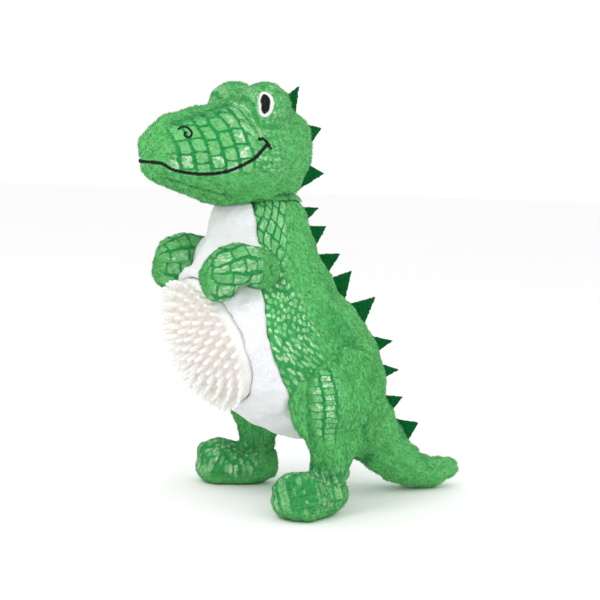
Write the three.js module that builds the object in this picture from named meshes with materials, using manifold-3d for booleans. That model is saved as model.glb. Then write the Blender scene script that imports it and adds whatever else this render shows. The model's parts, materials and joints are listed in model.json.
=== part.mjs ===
// Stuffed dinosaur with a spiky rubber dome in its belly. Millimetres, +Z up, facing -Y.
// Every cover is a shell of sewn panels around its own filling, and every limb turns in a round seat.
import * as THREE from "three";
import { mergeVertices } from "three/addons/utils/BufferGeometryUtils.js";
import Module from "manifold-3d";

const wasm = await Module();
wasm.setup();

// ---------- driving dimensions ----------
const lean = THREE.MathUtils.degToRad(3.8); // built upright, then leaned onto its soles and tail
const soleDrop = 4.4; // height of the floor below the hips' line, before the lean
const fabric = 2; // plush with its pile pressed flat
const gap = 0.3; // between any two pieces
const inside = fabric + gap; // how far a filling stays under the outer surface
const feltThickness = 1.4;
const feltTab = 1.6; // how far a felt spike is sewn into its seam

const neckCentre = new THREE.Vector3(0, -29, 166);
const neckBall = 34.5; // round top of the torso
const neckPad = 3.8; // wad between torso and head
const neckWide = 25.5;

const shoulder = new THREE.Vector3(36, -46, 153);
const armRoot = 12.5;
const armSeat = 15; // reach of the round seat around the swing axis
const armDepth = 13; // how far the seat goes in from the swing centre

const hip = new THREE.Vector3(45, 0, 74);
const thighThick = 18;
const thighRadius = 33;

const tailCentre = new THREE.Vector3(0, 45, 46);
const tailRoot = 22;

const domeCentre = new THREE.Vector3(0, -61.5, 107.5); // middle of the dome's rim
const domeTilt = THREE.MathUtils.degToRad(20); // the dome looks a little downward
const domeRim = 40;
const domeRise = 17;
const domeWall = 2.2;
const domeSkirt = 20; // the edge that is sewn in goes on behind the rim and draws in
const domeTaper = 4;
const domeSides = 20;
const domeTravel = 6;
const nubLength = 7.5;
const nubBase = 2;
const nubPitch = 9;

// ---------- from solids to meshes ----------
function toSolid(geometry) {
  const bare = geometry.clone();
  bare.deleteAttribute("normal");
  bare.deleteAttribute("uv");
  const merged = mergeVertices(bare, 1e-3);
  return new wasm.Manifold(
    new wasm.Mesh({
      numProp: 3,
      vertProperties: new Float32Array(merged.attributes.position.array),
      triVerts: new Uint32Array(merged.index.array),
    }),
  );
}

function toGeometry(solid) {
  const { vertProperties, triVerts, numProp } = solid.getMesh();
  const points = [];
  for (let i = 0; i < vertProperties.length; i += numProp)
    points.push(vertProperties[i], vertProperties[i + 1], vertProperties[i + 2]);
  const geometry = new THREE.BufferGeometry();
  geometry.setAttribute("position", new THREE.Float32BufferAttribute(points, 3));
  geometry.setIndex(Array.from(triVerts));
  geometry.computeVertexNormals();
  return geometry;
}

const largest = (solid) =>
  solid.decompose().reduce((a, b) => (a.volume() > b.volume() ? a : b));

const mirrored = (solid) => solid.mirror([1, 0, 0]);

const plus = (solids) => solids.reduce((a, b) => a.add(b));

const without = (solid, cutters) => cutters.reduce((a, b) => a.subtract(b), solid);

// ---------- shapes ----------
// A stuffed tube: round ends, and a section that changes from station to station.
// A station is [x, y, z, half width, half height]; side and along fix the way the sections face.
function stuffed({ stations, startCap, endCap, along, side = [1, 0, 0] }, inset, sides, rows) {
  const middle = new THREE.CatmullRomCurve3(
    stations.map(([x, y, z]) => new THREE.Vector3(x, y, z)),
  );
  const sizes = new THREE.CatmullRomCurve3(
    stations.map(([, , , wide, tall]) => new THREE.Vector3(wide, tall, 0)),
  );
  const capRows = Math.max(2, Math.round(rows * 0.22));
  const geometry = new THREE.SphereGeometry(1, sides, rows + 2 * capRows);
  const points = geometry.attributes.position;
  for (let row = 0; row <= rows + 2 * capRows; row++) {
    // rows run from the far end of the tube back to its start
    const far = capRows - row;
    const near = row - capRows - rows;
    const share = THREE.MathUtils.clamp((rows + capRows - row) / rows, 0, 1);
    const bend = (Math.PI / 2) * (Math.max(far, near, 0) / capRows);
    const reach = far > 0 ? endCap - inset : inset - startCap;
    const tangent = along
      ? new THREE.Vector3(...along).normalize()
      : middle.getTangent(share);
    const across = new THREE.Vector3(...side);
    across.addScaledVector(tangent, -across.dot(tangent)).normalize();
    const up = new THREE.Vector3().crossVectors(across, tangent);
    const size = sizes.getPoint(share);
    const centre = middle.getPoint(share).addScaledVector(tangent, reach * Math.sin(bend));
    for (let column = 0; column <= sides; column++) {
      const angle = (2 * Math.PI * column) / sides;
      const point = centre
        .clone()
        .addScaledVector(across, -Math.cos(angle) * (size.x - inset) * Math.cos(bend))
        .addScaledVector(up, Math.sin(angle) * (size.y - inset) * Math.cos(bend));
      points.setXYZ(row * (sides + 1) + column, point.x, point.y, point.z);
    }
  }
  return toSolid(geometry);
}

function ellipsoid(centre, radii, sides = 20, rows = 12) {
  const geometry = new THREE.SphereGeometry(1, sides, rows);
  geometry.rotateZ(Math.PI / 2);
  geometry.scale(...radii);
  geometry.translate(centre.x, centre.y, centre.z);
  return toSolid(geometry);
}

const ball = (centre, radius, sides, rows) =>
  ellipsoid(centre, [radius, radius, radius], sides, rows);

// A faceted seat is larger by its flats, so that a round part clears it as it turns.
const seatRadius = (radius, sides, rows = Infinity) =>
  (radius + gap) / (Math.cos(Math.PI / sides) * Math.cos(Math.PI / (2 * rows)));
const turnSides = 14;
const tailSides = 12;
const tailRows = 8;

const neckSides = 16;
const neckRows = 10;
const neckRound = (radius) => ball(neckCentre, radius, neckSides, neckRows);
const neckSeat = (radius) => neckRound(seatRadius(radius, neckSides, neckRows));

// A round bar along X, from x to x + length.
function barAlongX(x, length, y, z, radius, sides = 20) {
  const geometry = new THREE.CylinderGeometry(radius, radius, length, sides);
  geometry.rotateZ(Math.PI / 2);
  geometry.translate(x + length / 2, y, z);
  return toSolid(geometry);
}

function box(low, high) {
  const size = high.map((v, i) => v - low[i]);
  const geometry = new THREE.BoxGeometry(...size);
  geometry.translate(...low.map((v, i) => v + size[i] / 2));
  return toSolid(geometry);
}

// A plate cut in the side view: a shape in (y, z), extruded along X from one x to the other.
function sidePlate(shape, fromX, toX, curveSegments = 12) {
  const geometry = new THREE.ExtrudeGeometry(shape, {
    depth: toX - fromX,
    bevelEnabled: false,
    curveSegments,
  });
  geometry.applyMatrix4(
    new THREE.Matrix4().makeBasis(
      new THREE.Vector3(0, 1, 0),
      new THREE.Vector3(0, 0, 1),
      new THREE.Vector3(1, 0, 0),
    ),
  );
  geometry.translate(fromX, 0, 0);
  return toSolid(geometry);
}

const big = 400; // larger than the toy

// The floor rises towards the toes in the upright frame that the pieces are built in.
function aboveFloor(lift) {
  const geometry = new THREE.BoxGeometry(2 * big, 2 * big, big);
  geometry.translate(0, 0, big / 2 + lift);
  geometry.rotateX(-lean);
  geometry.translate(0, 0, soleDrop);
  return toSolid(geometry);
}

// ---------- the soft shapes, each at a given depth under its outer surface ----------
const torsoStations = [
  [0, 14, 49, 30, 33],
  [0, 10, 55, 40, 42],
  [0, 5, 65, 48, 50.5],
  [0, -5, 78, 52.5, 58],
  [0, -13, 94, 54, 62.5],
  [0, -19, 111, 51.5, 61],
  [0, -25.5, 128, 45.5, 54],
  [0, -28.5, 143, 38.5, 45],
  [0, -28.5, 159, 32, 36.5],
  [0, -29, 175, 27.5, 30.5],
  [0, -29, 202, 25, 28],
];
const torsoShape = (inset) =>
  stuffed(
    { stations: torsoStations, startCap: 7, endCap: 6, along: [0, 0, 1] },
    inset,
    16,
    9,
  ).intersect(
    box([-big, -big, 0], [big, big, neckCentre.z]).add(neckRound(neckBall - inset)),
  );

const headStations = [
  [0, -11, 222, 28, 27],
  [0, -22, 220, 34, 32.5],
  [0, -37, 218, 36.5, 34],
  [0, -53, 218.5, 34, 31],
  [0, -70, 219.5, 28.5, 26.5],
  [0, -84, 221, 23.5, 22.5],
  [0, -91.5, 221, 19.5, 18.5],
];
const nape = new THREE.Vector3(0, -30, 207);
const napeRadii = [31, 32.5, 25];
const brow = new THREE.Vector3(18.5, -34, 244);
const browRadii = [16.5, 17.5, 17.5];
function headShape(inset) {
  const browAt = (inwards) =>
    ellipsoid(brow, browRadii.map((r) => r - inwards), 10, 6);
  return plus([
    stuffed(
      { stations: headStations, startCap: 14, endCap: 12, along: [0, -1, 0] },
      inset,
      14,
      7,
    ),
    browAt(inset),
    mirrored(browAt(inset)),
    ellipsoid(nape, napeRadii.map((r) => r - inset), 10, 6),
  ]);
}

const armStations = [
  [shoulder.x, shoulder.y, shoulder.z, armRoot, armRoot],
  [37, -55, 155.5, 12, 12.5],
  [35, -64, 155.5, 12, 13.5],
  [33, -71.5, 151, 12, 13],
];
const armShape = (inset) =>
  stuffed(
    { stations: armStations, startCap: armRoot, endCap: 11.5, side: [1, 0, 0] },
    inset,
    10,
    4,
  );

const toeOut = THREE.MathUtils.degToRad(20);
const footCentre = new THREE.Vector3(46, -16, 0);
const footStations = [
  [12, 17.5, 13.5, 13.5],
  [-4, 17.5, 15, 15.5],
  [-17, 19.6, 16.5, 16.9],
];
const legStations = [
  [46, -1, 66, 14, 27],
  [46, -1.5, 54, 13.5, 22.5],
  [46, -4, 42, 12.5, 15],
  [46, -6, 29, 12, 12.5],
];
function legShape(inset) {
  const turnOut = ([along, height, wide, tall]) => [
    footCentre.x - along * Math.sin(toeOut),
    footCentre.y + along * Math.cos(toeOut),
    height,
    wide,
    tall,
  ];
  const foot = stuffed(
    {
      stations: footStations.map(turnOut),
      startCap: 11,
      endCap: 14,
      along: [Math.sin(toeOut), -Math.cos(toeOut), 0],
    },
    inset,
    10,
    3,
  );
  const shank = stuffed(
    { stations: legStations, startCap: 8, endCap: 8, along: [0, 0, -1] },
    inset,
    10,
    3,
  );
  const thigh = ellipsoid(
    hip,
    [thighThick - inset, thighRadius - inset, thighRadius - inset],
    turnSides,
    6,
  );
  return plus([thigh, shank, foot]).intersect(aboveFloor(inset));
}

const tailStations = [
  [0, 51, 40, 19.5, 19],
  [0, 61, 29, 16.5, 16.5],
  [0, 72, 19, 14.5, 14.5],
  [0, 86, 10.4, 13, 12.5],
  [0, 99, 7.6, 11, 10.5],
  [0, 110, 9.5, 8.5, 8],
];
const tailShape = (inset) =>
  ball(tailCentre, tailRoot - inset, tailSides, tailRows)
    .add(stuffed({ stations: tailStations, startCap: 14, endCap: 9 }, inset, 10, 5))
    .intersect(aboveFloor(inset));

// ---------- seats that the turning parts sit in ----------
const tailSeat = ball(tailCentre, seatRadius(tailRoot, tailSides, tailRows), tailSides, tailRows);
const seats = [tailSeat];
for (const flip of [(s) => s, mirrored]) {
  const hipSeat = seatRadius(thighRadius, turnSides);
  seats.push(
    flip(barAlongX(shoulder.x - armDepth, 40, shoulder.y, shoulder.z, armSeat)),
    flip(ellipsoid(hip, [thighThick + gap, hipSeat, hipSeat], turnSides, 6)),
  );
}

// ---------- rubber dome, turned about its own axis ----------
// Local +Y is the dome's axis, pointing out of the belly, with the rim at y = 0.
const domeRadius = (domeRim ** 2 + domeRise ** 2) / (2 * domeRise);
const domeDrop = domeRadius - domeRise; // ball centre behind the rim
function placeDome(object) {
  object.quaternion.setFromUnitVectors(
    new THREE.Vector3(0, 1, 0),
    new THREE.Vector3(0, -Math.cos(domeTilt), -Math.sin(domeTilt)),
  );
  object.position.copy(domeCentre);
  object.updateMatrix();
  return object;
}
const domePlace = placeDome(new THREE.Object3D()).matrix;
const inDomePlace = (geometry) => toSolid(geometry.applyMatrix4(domePlace));

function turned(outline, segments = domeSides) {
  return new THREE.LatheGeometry(
    [...outline, outline[0]].map(([radius, height]) => new THREE.Vector2(radius, height)),
    segments,
  );
}

function domeShell() {
  const arc = (radius, rows) => {
    const sweep = Math.acos(domeDrop / radius);
    return Array.from({ length: rows + 1 }, (_, i) => {
      const polar = (sweep * i) / rows;
      return [radius * Math.sin(polar), radius * Math.cos(polar) - domeDrop];
    });
  };
  return inDomePlace(
    turned([
      ...arc(domeRadius - domeWall, 4),
      [domeRim - domeTaper - domeWall, -domeSkirt],
      [domeRim - domeTaper, -domeSkirt],
      ...arc(domeRadius, 5).reverse(),
    ]),
  );
}

function domeNubs() {
  const lastPolar = Math.asin((domeRim - nubBase) / (domeRadius + nubLength));
  const rings = Math.round((domeRadius * lastPolar) / nubPitch);
  const nubs = [];
  for (let ring = 0; ring <= rings; ring++) {
    const polar = (lastPolar * ring) / rings;
    const count = Math.max(
      1,
      Math.round((2 * Math.PI * domeRadius * Math.sin(polar)) / nubPitch),
    );
    for (let i = 0; i < count; i++) {
      const nub = new THREE.ConeGeometry(nubBase, nubLength + 1, 4);
      nub.translate(0, domeRadius + (nubLength - 1) / 2, 0);
      nub.rotateZ(-polar);
      nub.rotateY((2 * Math.PI * (i + (ring % 2) / 2)) / count);
      nub.translate(0, -domeDrop, 0);
      nubs.push(inDomePlace(nub));
    }
  }
  return wasm.Manifold.union(nubs);
}

const domeRod = (radius, low, high) => {
  const geometry = new THREE.CylinderGeometry(radius, radius, high - low, domeSides);
  geometry.translate(0, (high + low) / 2, 0);
  return inDomePlace(geometry);
};
const domeClear = gap / Math.cos(Math.PI / domeSides);
const domeHole = domeRod(domeRim + domeClear, -domeSkirt - 10, 60);

const squeakerRadius = 17;
const squeakerHeight = 14;
const squeakerTop = 5.5; // above the rim plane, inside the dome
function squeakerBulb() {
  const low = squeakerTop - squeakerHeight;
  return inDomePlace(
    turned([
      [0, low],
      [squeakerRadius * 0.8, low],
      [squeakerRadius, low + squeakerHeight * 0.3],
      [squeakerRadius, low + squeakerHeight * 0.7],
      [squeakerRadius * 0.8, squeakerTop],
      [0, squeakerTop],
    ], 14),
  );
}
const reedRadius = 5;
const reedLength = 6;
const squeakerFoot = squeakerTop - squeakerHeight;
const squeakerReed = () =>
  domeRod(reedRadius, squeakerFoot - reedLength, squeakerFoot - gap);

// The room that the dome moves in. A plug of stuffing stands in its middle and carries the squeaker.
const plugRoom = 3.8; // between the plug and the dome's drawn-in edge
const plugRadius = domeRim - domeTaper - domeWall - plugRoom;
const domeRoom = domeRod(domeRim + domeClear, -domeSkirt - domeTravel - 1, 60)
  .subtract(domeRod(plugRadius, -domeSkirt - 30, squeakerFoot - gap))
  .add(domeRod(reedRadius + gap, squeakerFoot - reedLength - gap, squeakerFoot));

// ---------- felt spikes along the back seam ----------
// The place where a ray from inside a shape leaves it.
function leaves(solid, from, angle) {
  const mesh = new THREE.Mesh(
    toGeometry(solid),
    new THREE.MeshBasicMaterial({ side: THREE.DoubleSide }),
  );
  const direction = new THREE.Vector3(0, Math.cos(angle), Math.sin(angle));
  const hits = new THREE.Raycaster(from, direction).intersectObject(mesh);
  return hits[hits.length - 1].point;
}

// A spike stands on the seam line of a shape, square to the line between its two feet.
function feltSpike(solid, upper, lower, height, tipLean) {
  const a = leaves(solid, ...upper);
  const b = leaves(solid, ...lower);
  const base = new THREE.Vector2(b.y - a.y, b.z - a.z);
  const out = new THREE.Vector2(-base.y, base.x).normalize();
  const down = base.clone().normalize();
  const foot = (p) => new THREE.Vector2(p.y, p.z).addScaledVector(out, -feltTab);
  const tip = new THREE.Vector2((a.y + b.y) / 2, (a.z + b.z) / 2)
    .addScaledVector(out, height)
    .addScaledVector(down, -tipLean);
  const outline = new THREE.Shape([
    foot(a),
    new THREE.Vector2(a.y, a.z),
    tip,
    new THREE.Vector2(b.y, b.z),
    foot(b),
  ]);
  return {
    felt: sidePlate(outline, -feltThickness / 2, feltThickness / 2),
    slot: sidePlate(outline, -feltThickness / 2 - gap, feltThickness / 2 + gap),
  };
}

// Each row: where its upper and lower foot stand, its height, and how far its tip leans up the seam.
// The feet are found from the middle of the head and the tail by angle, and up the torso by height.
const headMiddle = new THREE.Vector3(0, -34, 219);
const headSpikeRows = [
  [57, 38, 13.8, 0],
  [27, -3, 15, 4.4],
  [-9, -37, 17, 4],
];
const torsoSpikeRows = [
  [185, 174.5, 13.5, 1],
  [173.5, 157.5, 15.2, 1],
  [155.5, 141.5, 16.3, -2],
  [139.5, 124, 16.5, 2],
  [122.5, 105, 20.5, 1.5],
  [103, 87.5, 19.5, -4.5],
  [86, 71, 20, -5.5],
];
const tailMiddle = new THREE.Vector3(0, 50, 40);
const tailSpikeRows = [
  [70, 31, 14, -4],
  [20, -18, 13.5, -6],
];

function seamSpikes(solid, rows, from, towards) {
  const foot = (place) => [from(place), towards(place)];
  return rows.map(([upper, lower, height, tipLean]) =>
    feltSpike(solid, foot(upper), foot(lower), height, tipLean),
  );
}
const level = () => 0;
const headSpikes = seamSpikes(
  headShape(0),
  headSpikeRows,
  () => headMiddle,
  THREE.MathUtils.degToRad,
);
const torsoSpikes = seamSpikes(
  torsoShape(0),
  torsoSpikeRows,
  (height) => new THREE.Vector3(0, -20, height),
  level,
);
const tailSpikes = seamSpikes(
  tailShape(0),
  tailSpikeRows,
  () => tailMiddle,
  THREE.MathUtils.degToRad,
);

// ---------- covers and fillings ----------
const skin = (shape) => shape(0).subtract(shape(fabric));
const filling = (shape) => shape(inside);

// Seam between the belly panel and the back panels, in the side view.
function bellyRegion(offset) {
  const seam = new THREE.SplineCurve(
    [
      [12, 30],
      [-2, 52],
      [-20, 66],
      [-34, 82],
      [-43, 100],
      [-48, 122],
      [-46, 145],
      [-43, 165],
      [-42, 205],
    ].map(([y, z]) => new THREE.Vector2(y + offset, z)),
  );
  return new THREE.Shape([
    new THREE.Vector2(-big, 205),
    new THREE.Vector2(-big, 30),
    ...seam.getPoints(14),
  ]);
}

const slots = [...headSpikes, ...torsoSpikes, ...tailSpikes].map((s) => s.slot);
const torsoSkin = without(skin(torsoShape), [...seats, domeHole, ...slots]);
const bellyPanel = torsoSkin.intersect(sidePlate(bellyRegion(0), -big, big));
const backPanels = torsoSkin.subtract(sidePlate(bellyRegion(gap), -big, big));
const leftHalf = box([gap / 2, -big, -big], [big, big, big]);
const rightHalf = mirrored(leftHalf);
const torsoFilling = without(filling(torsoShape), [...seats, domeRoom, ...slots]);

const neckRing = neckRound(neckBall + neckPad)
  .subtract(neckSeat(neckBall))
  .intersect(
    stuffed(
      {
        stations: [
          [0, -29, 176, neckWide, neckWide + 3],
          [0, -29, 210, neckWide - 2, neckWide + 1],
        ],
        startCap: 1,
        endCap: 1,
        along: [0, 0, 1],
      },
      0,
      neckSides,
      2,
    ),
  );
const neckWad = without(neckRing, slots);
const headSocket = neckSeat(neckBall + neckPad);

// Head seams: a gusset over the top from nose to nape, a chin panel under the jaw, and two sides.
const gussetWide = 11;
const gussetZone = box([-gussetWide, -big, 222], [gussetWide, big, big]);
const gussetGap = box([-gussetWide - gap, -big, 222 - gap], [gussetWide + gap, big, big]);
function chinZone(offset) {
  return sidePlate(
    new THREE.Shape(
      [
        [-big, 100],
        [-20, 100],
        [-20, 187],
        [-48, 190],
        [-72, 198],
        [-90, 205],
        [-big, 205],
      ].map(([y, z]) => new THREE.Vector2(y, z + offset)),
    ),
    -big,
    big,
  );
}
const headSkin = without(skin(headShape), [headSocket, ...slots]);
const headFilling = without(filling(headShape), [headSocket, ...slots]);
const headGusset = headSkin.intersect(gussetZone);
const chinPanel = headSkin.intersect(chinZone(0));
const headSides = without(headSkin, [gussetGap, chinZone(gap)]);

// ---------- embroidery: thin pads that follow the surface they are sewn to ----------
const stitchHeight = 0.9;
const headLayer = (lift) => headShape(-lift - stitchHeight).subtract(headShape(-lift));
const firstLayer = headLayer(gap);
const secondLayer = headLayer(2 * gap + stitchHeight);

function ovalShape(y, z, wide, tall, turn) {
  const shape = new THREE.Shape();
  shape.absellipse(y, z, wide, tall, 0, 2 * Math.PI, false, turn);
  return shape;
}
const eye = { y: -41.5, z: 248.5, wide: 4, tall: 6.9, turn: 0.1 };
const pupil = { y: -41.8, z: 248.8, wide: 2, tall: 4.9, turn: 0.1 };
const oval = ({ y, z, wide, tall, turn }) => ovalShape(y, z, wide, tall, turn);
const outwards = 8; // the pads lie on the outer half of the head only

// A band of the given width along a curve in the side view.
function band(curve, width, steps) {
  const line = curve.getSpacedPoints(steps);
  const offsetBy = (side) =>
    line.map((p, i) => {
      const t = curve.getTangentAt(i / steps);
      return new THREE.Vector2(p.x - t.y * side, p.y + t.x * side);
    });
  return new THREE.Shape([...offsetBy(width / 2), ...offsetBy(-width / 2).reverse()]);
}
const mouthLine = new THREE.SplineCurve(
  [
    [-125, 215.5],
    [-101, 215.5],
    [-93, 211.5],
    [-80, 209],
    [-66, 210],
    [-54, 215.5],
    [-42, 225],
  ].map(([y, z]) => new THREE.Vector2(y, z)),
);
const mouthWidth = 2.4;
const nostrilLine = new THREE.SplineCurve(
  [
    [-89, 234.3],
    [-86.5, 235.3],
    [-84, 234.6],
    [-83.6, 232],
    [-85.8, 230.2],
    [-87.6, 231.6],
  ].map(([y, z]) => new THREE.Vector2(y, z)),
);
const nostrilWidth = 1.2;

const mouth = largest(
  firstLayer.intersect(sidePlate(band(mouthLine, mouthWidth, 16), -big, big)),
);
const onLeft = (layer, shape) => largest(layer.intersect(sidePlate(shape, outwards, big)));
const eyeWhite = onLeft(firstLayer, oval(eye));
const eyePupil = onLeft(secondLayer, oval(pupil));
const nostril = onLeft(firstLayer, band(nostrilLine, nostrilWidth, 12));

// ---------- limb bags, each of an outer and an inner panel ----------
function twoPanels(shape, cutX, mouthHole) {
  const bag = skin(shape).subtract(mouthHole);
  return {
    outer: largest(bag.intersect(box([cutX + gap / 2, -big, -big], [big, big, big]))),
    inner: largest(bag.intersect(box([-big, -big, -big], [cutX - gap / 2, big, big]))),
    filling: filling(shape),
  };
}
const arm = twoPanels(
  armShape,
  35,
  barAlongX(shoulder.x - 30, 30, shoulder.y, shoulder.z, 6, 10),
);
const leg = twoPanels(legShape, 45.5, barAlongX(hip.x - 30, 30, hip.y, hip.z, 10, 12));
const tailBag = skin(tailShape).subtract(box([-8, 0, 40], [8, 34, 56]));
const tailSkin = without(tailBag, slots);
const tailFilling = without(filling(tailShape), slots);

// ---------- finishes ----------
function finish(color, roughness) {
  return new THREE.MeshStandardMaterial({ color, roughness, metalness: 0 });
}
const greenPlush = finish("#4fae5a", 0.95);
const whiteVelour = finish("#e6e6e8", 0.95);
const greenFelt = finish("#06692f", 1);
const blackThread = finish("#141414", 0.6);
const whiteThread = finish("#f2f2f0", 0.6);
const fibrefill = finish("#f4f2ec", 1);
const milkyRubber = finish("#f1efe8", 0.35);
const squeakerPlastic = finish("#dfe6ea", 0.4);

// ---------- assembly ----------
const toy = new THREE.Group();
const placed = new THREE.Group();
placed.rotation.x = lean;
placed.position.z = -soleDrop * Math.cos(lean);
toy.add(placed);

function add(name, solid, material) {
  const mesh = new THREE.Mesh(toGeometry(solid), material);
  mesh.name = name;
  placed.add(mesh);
}
function addPair(name, ending, solid, material) {
  add(`${name}_left${ending}`, solid, material);
  add(`${name}_right${ending}`, mirrored(solid), material);
}

add("belly_panel", largest(bellyPanel), whiteVelour);
add("back_panel_left", largest(backPanels.intersect(leftHalf)), greenPlush);
add("back_panel_right", largest(backPanels.intersect(rightHalf)), greenPlush);
add("torso_filling", largest(torsoFilling), fibrefill);
add("neck_wad", largest(neckWad), fibrefill);

add("head_gusset", largest(headGusset), greenPlush);
add("chin_panel", largest(chinPanel), greenPlush);
add("head_side_left", largest(headSides.intersect(leftHalf)), greenPlush);
add("head_side_right", largest(headSides.intersect(rightHalf)), greenPlush);
add("head_filling", largest(headFilling), fibrefill);
addPair("eye_white", "", eyeWhite, whiteThread);
addPair("eye_pupil", "", eyePupil, blackThread);
addPair("nostril", "", nostril, blackThread);
add("mouth_line", mouth, blackThread);

addPair("arm", "_outer", arm.outer, greenPlush);
addPair("arm", "_inner", arm.inner, greenPlush);
addPair("arm", "_filling", arm.filling, fibrefill);
addPair("leg", "_outer", leg.outer, greenPlush);
addPair("leg", "_inner", leg.inner, greenPlush);
addPair("leg", "_filling", leg.filling, fibrefill);

add("tail_panel_left", largest(tailSkin.intersect(leftHalf)), greenPlush);
add("tail_panel_right", largest(tailSkin.intersect(rightHalf)), greenPlush);
add("tail_filling", largest(tailFilling), fibrefill);

[...headSpikes, ...torsoSpikes, ...tailSpikes].forEach(({ felt }, i) =>
  add(`back_spike_${String(i + 1).padStart(2, "0")}`, felt, greenFelt),
);

add("dome_shell", domeShell().add(domeNubs()), milkyRubber);
add("squeaker_bulb", squeakerBulb(), squeakerPlastic);
add("squeaker_reed", squeakerReed(), squeakerPlastic);

export default toy;
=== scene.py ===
# Stuffed dinosaur: plush skins over stuffed shapes, pile, felt spikes, satin stitches and a rubber dome.
import json
import math

import bpy
import numpy as np
from mathutils import Matrix, Vector
from mathutils.bvhtree import BVHTree

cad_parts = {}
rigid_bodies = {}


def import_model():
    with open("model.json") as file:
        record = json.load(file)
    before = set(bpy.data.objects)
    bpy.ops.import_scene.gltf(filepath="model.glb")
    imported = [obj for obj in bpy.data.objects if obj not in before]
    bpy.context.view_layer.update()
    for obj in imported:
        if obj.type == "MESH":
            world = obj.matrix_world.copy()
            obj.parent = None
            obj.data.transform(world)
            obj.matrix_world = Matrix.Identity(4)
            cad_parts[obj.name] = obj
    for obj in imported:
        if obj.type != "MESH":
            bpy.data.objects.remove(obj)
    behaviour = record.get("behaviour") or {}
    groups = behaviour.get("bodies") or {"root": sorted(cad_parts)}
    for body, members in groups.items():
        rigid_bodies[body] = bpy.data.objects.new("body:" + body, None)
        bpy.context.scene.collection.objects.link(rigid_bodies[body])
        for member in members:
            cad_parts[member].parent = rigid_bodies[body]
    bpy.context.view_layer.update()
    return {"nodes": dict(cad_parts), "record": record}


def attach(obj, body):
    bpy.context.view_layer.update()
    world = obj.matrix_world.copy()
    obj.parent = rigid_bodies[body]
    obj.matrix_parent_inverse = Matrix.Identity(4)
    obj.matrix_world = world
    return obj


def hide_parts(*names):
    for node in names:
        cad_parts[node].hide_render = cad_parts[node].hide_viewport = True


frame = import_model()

mm = 0.001

# The toy is shaped upright, in millimetres, and leaned back onto its soles and tail.
toy = {
    "lean": math.radians(3.8),
    "soleDrop": 4.4,
}
leanCos, leanSin = math.cos(toy["lean"]), math.sin(toy["lean"])


def toWorld(points):
    points = np.asarray(points, float)
    x, y, z = points[..., 0], points[..., 1], points[..., 2]
    return np.stack([x, y * leanCos - z * leanSin, y * leanSin + (z - toy["soleDrop"]) * leanCos], -1) * mm


def toUpright(points):
    points = np.asarray(points, float) / mm
    x, y, z = points[..., 0], points[..., 1], points[..., 2] + toy["soleDrop"] * leanCos
    return np.stack([x, y * leanCos + z * leanSin, -y * leanSin + z * leanCos], -1)


def turnedWorld(vectors):
    x, y, z = vectors[..., 0], vectors[..., 1], vectors[..., 2]
    return np.stack([x, y * leanCos - z * leanSin, y * leanSin + z * leanCos], -1)


# ---------- working with objects ----------
def pick(piece):
    bpy.ops.object.select_all(action="DESELECT")
    piece.select_set(True)
    bpy.context.view_layer.objects.active = piece


def shaped(piece, kind, **settings):
    pick(piece)
    modifier = piece.modifiers.new(kind.title(), kind)
    for key, value in settings.items():
        setattr(modifier, key, value)
    bpy.ops.object.modifier_apply(modifier=modifier.name)


# Runs operators on the whole of the picked mesh, each given with its settings.
def onWholeMesh(*steps):
    bpy.ops.object.mode_set(mode="EDIT")
    bpy.ops.mesh.select_all(action="SELECT")
    for operator, settings in steps:
        operator(**settings)
    bpy.ops.object.mode_set(mode="OBJECT")


def duplicated(piece, name):
    pick(piece)
    bpy.ops.object.duplicate()
    copy = bpy.context.object
    copy.name = name
    return copy


def joinedTo(piece, others):
    bpy.ops.object.select_all(action="DESELECT")
    for each in (*others, piece):
        each.select_set(True)
    bpy.context.view_layer.objects.active = piece
    bpy.ops.object.join()


def placed(name, data):
    holder = bpy.data.objects.new(name, data)
    bpy.context.scene.collection.objects.link(holder)
    return holder


def copyOfNodes(name, nodes):
    bpy.ops.object.select_all(action="DESELECT")
    for node in nodes:
        frame["nodes"][node].select_set(True)
    bpy.context.view_layer.objects.active = frame["nodes"][nodes[0]]
    bpy.ops.object.duplicate()
    if len(nodes) > 1:
        bpy.ops.object.join()
    bpy.ops.object.parent_clear(type="CLEAR_KEEP_TRANSFORM")
    piece = bpy.context.object
    piece.name = name
    for key in list(piece.keys()):
        del piece[key]
    piece.data.materials.clear()
    onWholeMesh((bpy.ops.mesh.remove_doubles, {"threshold": 1e-6}))
    return piece


def readPoints(piece):
    points = np.empty(len(piece.data.vertices) * 3, np.float32)
    piece.data.vertices.foreach_get("co", points)
    return points.reshape(-1, 3).astype(float)


def writePoints(piece, points):
    piece.data.vertices.foreach_set("co", np.asarray(points, np.float32).ravel())
    piece.data.update()


def readNormals(piece):
    normals = np.empty(len(piece.data.vertices) * 3, np.float32)
    piece.data.vertex_normals.foreach_get("vector", normals)
    return normals.reshape(-1, 3).astype(float)


def setAttribute(piece, name, values):
    values = np.asarray(values, np.float32)
    kind, key = ("FLOAT_VECTOR", "vector") if values.ndim == 2 else ("FLOAT", "value")
    attribute = piece.data.attributes.new(name, kind, "POINT")
    attribute.data.foreach_set(key, values.ravel())


def getAttribute(piece, name):
    attribute = piece.data.attributes[name]
    size = 3 if attribute.data_type == "FLOAT_VECTOR" else 1
    values = np.empty(len(attribute.data) * size, np.float32)
    attribute.data.foreach_get("vector" if size == 3 else "value", values)
    return values.reshape(-1, 3) if size == 3 else values


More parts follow.
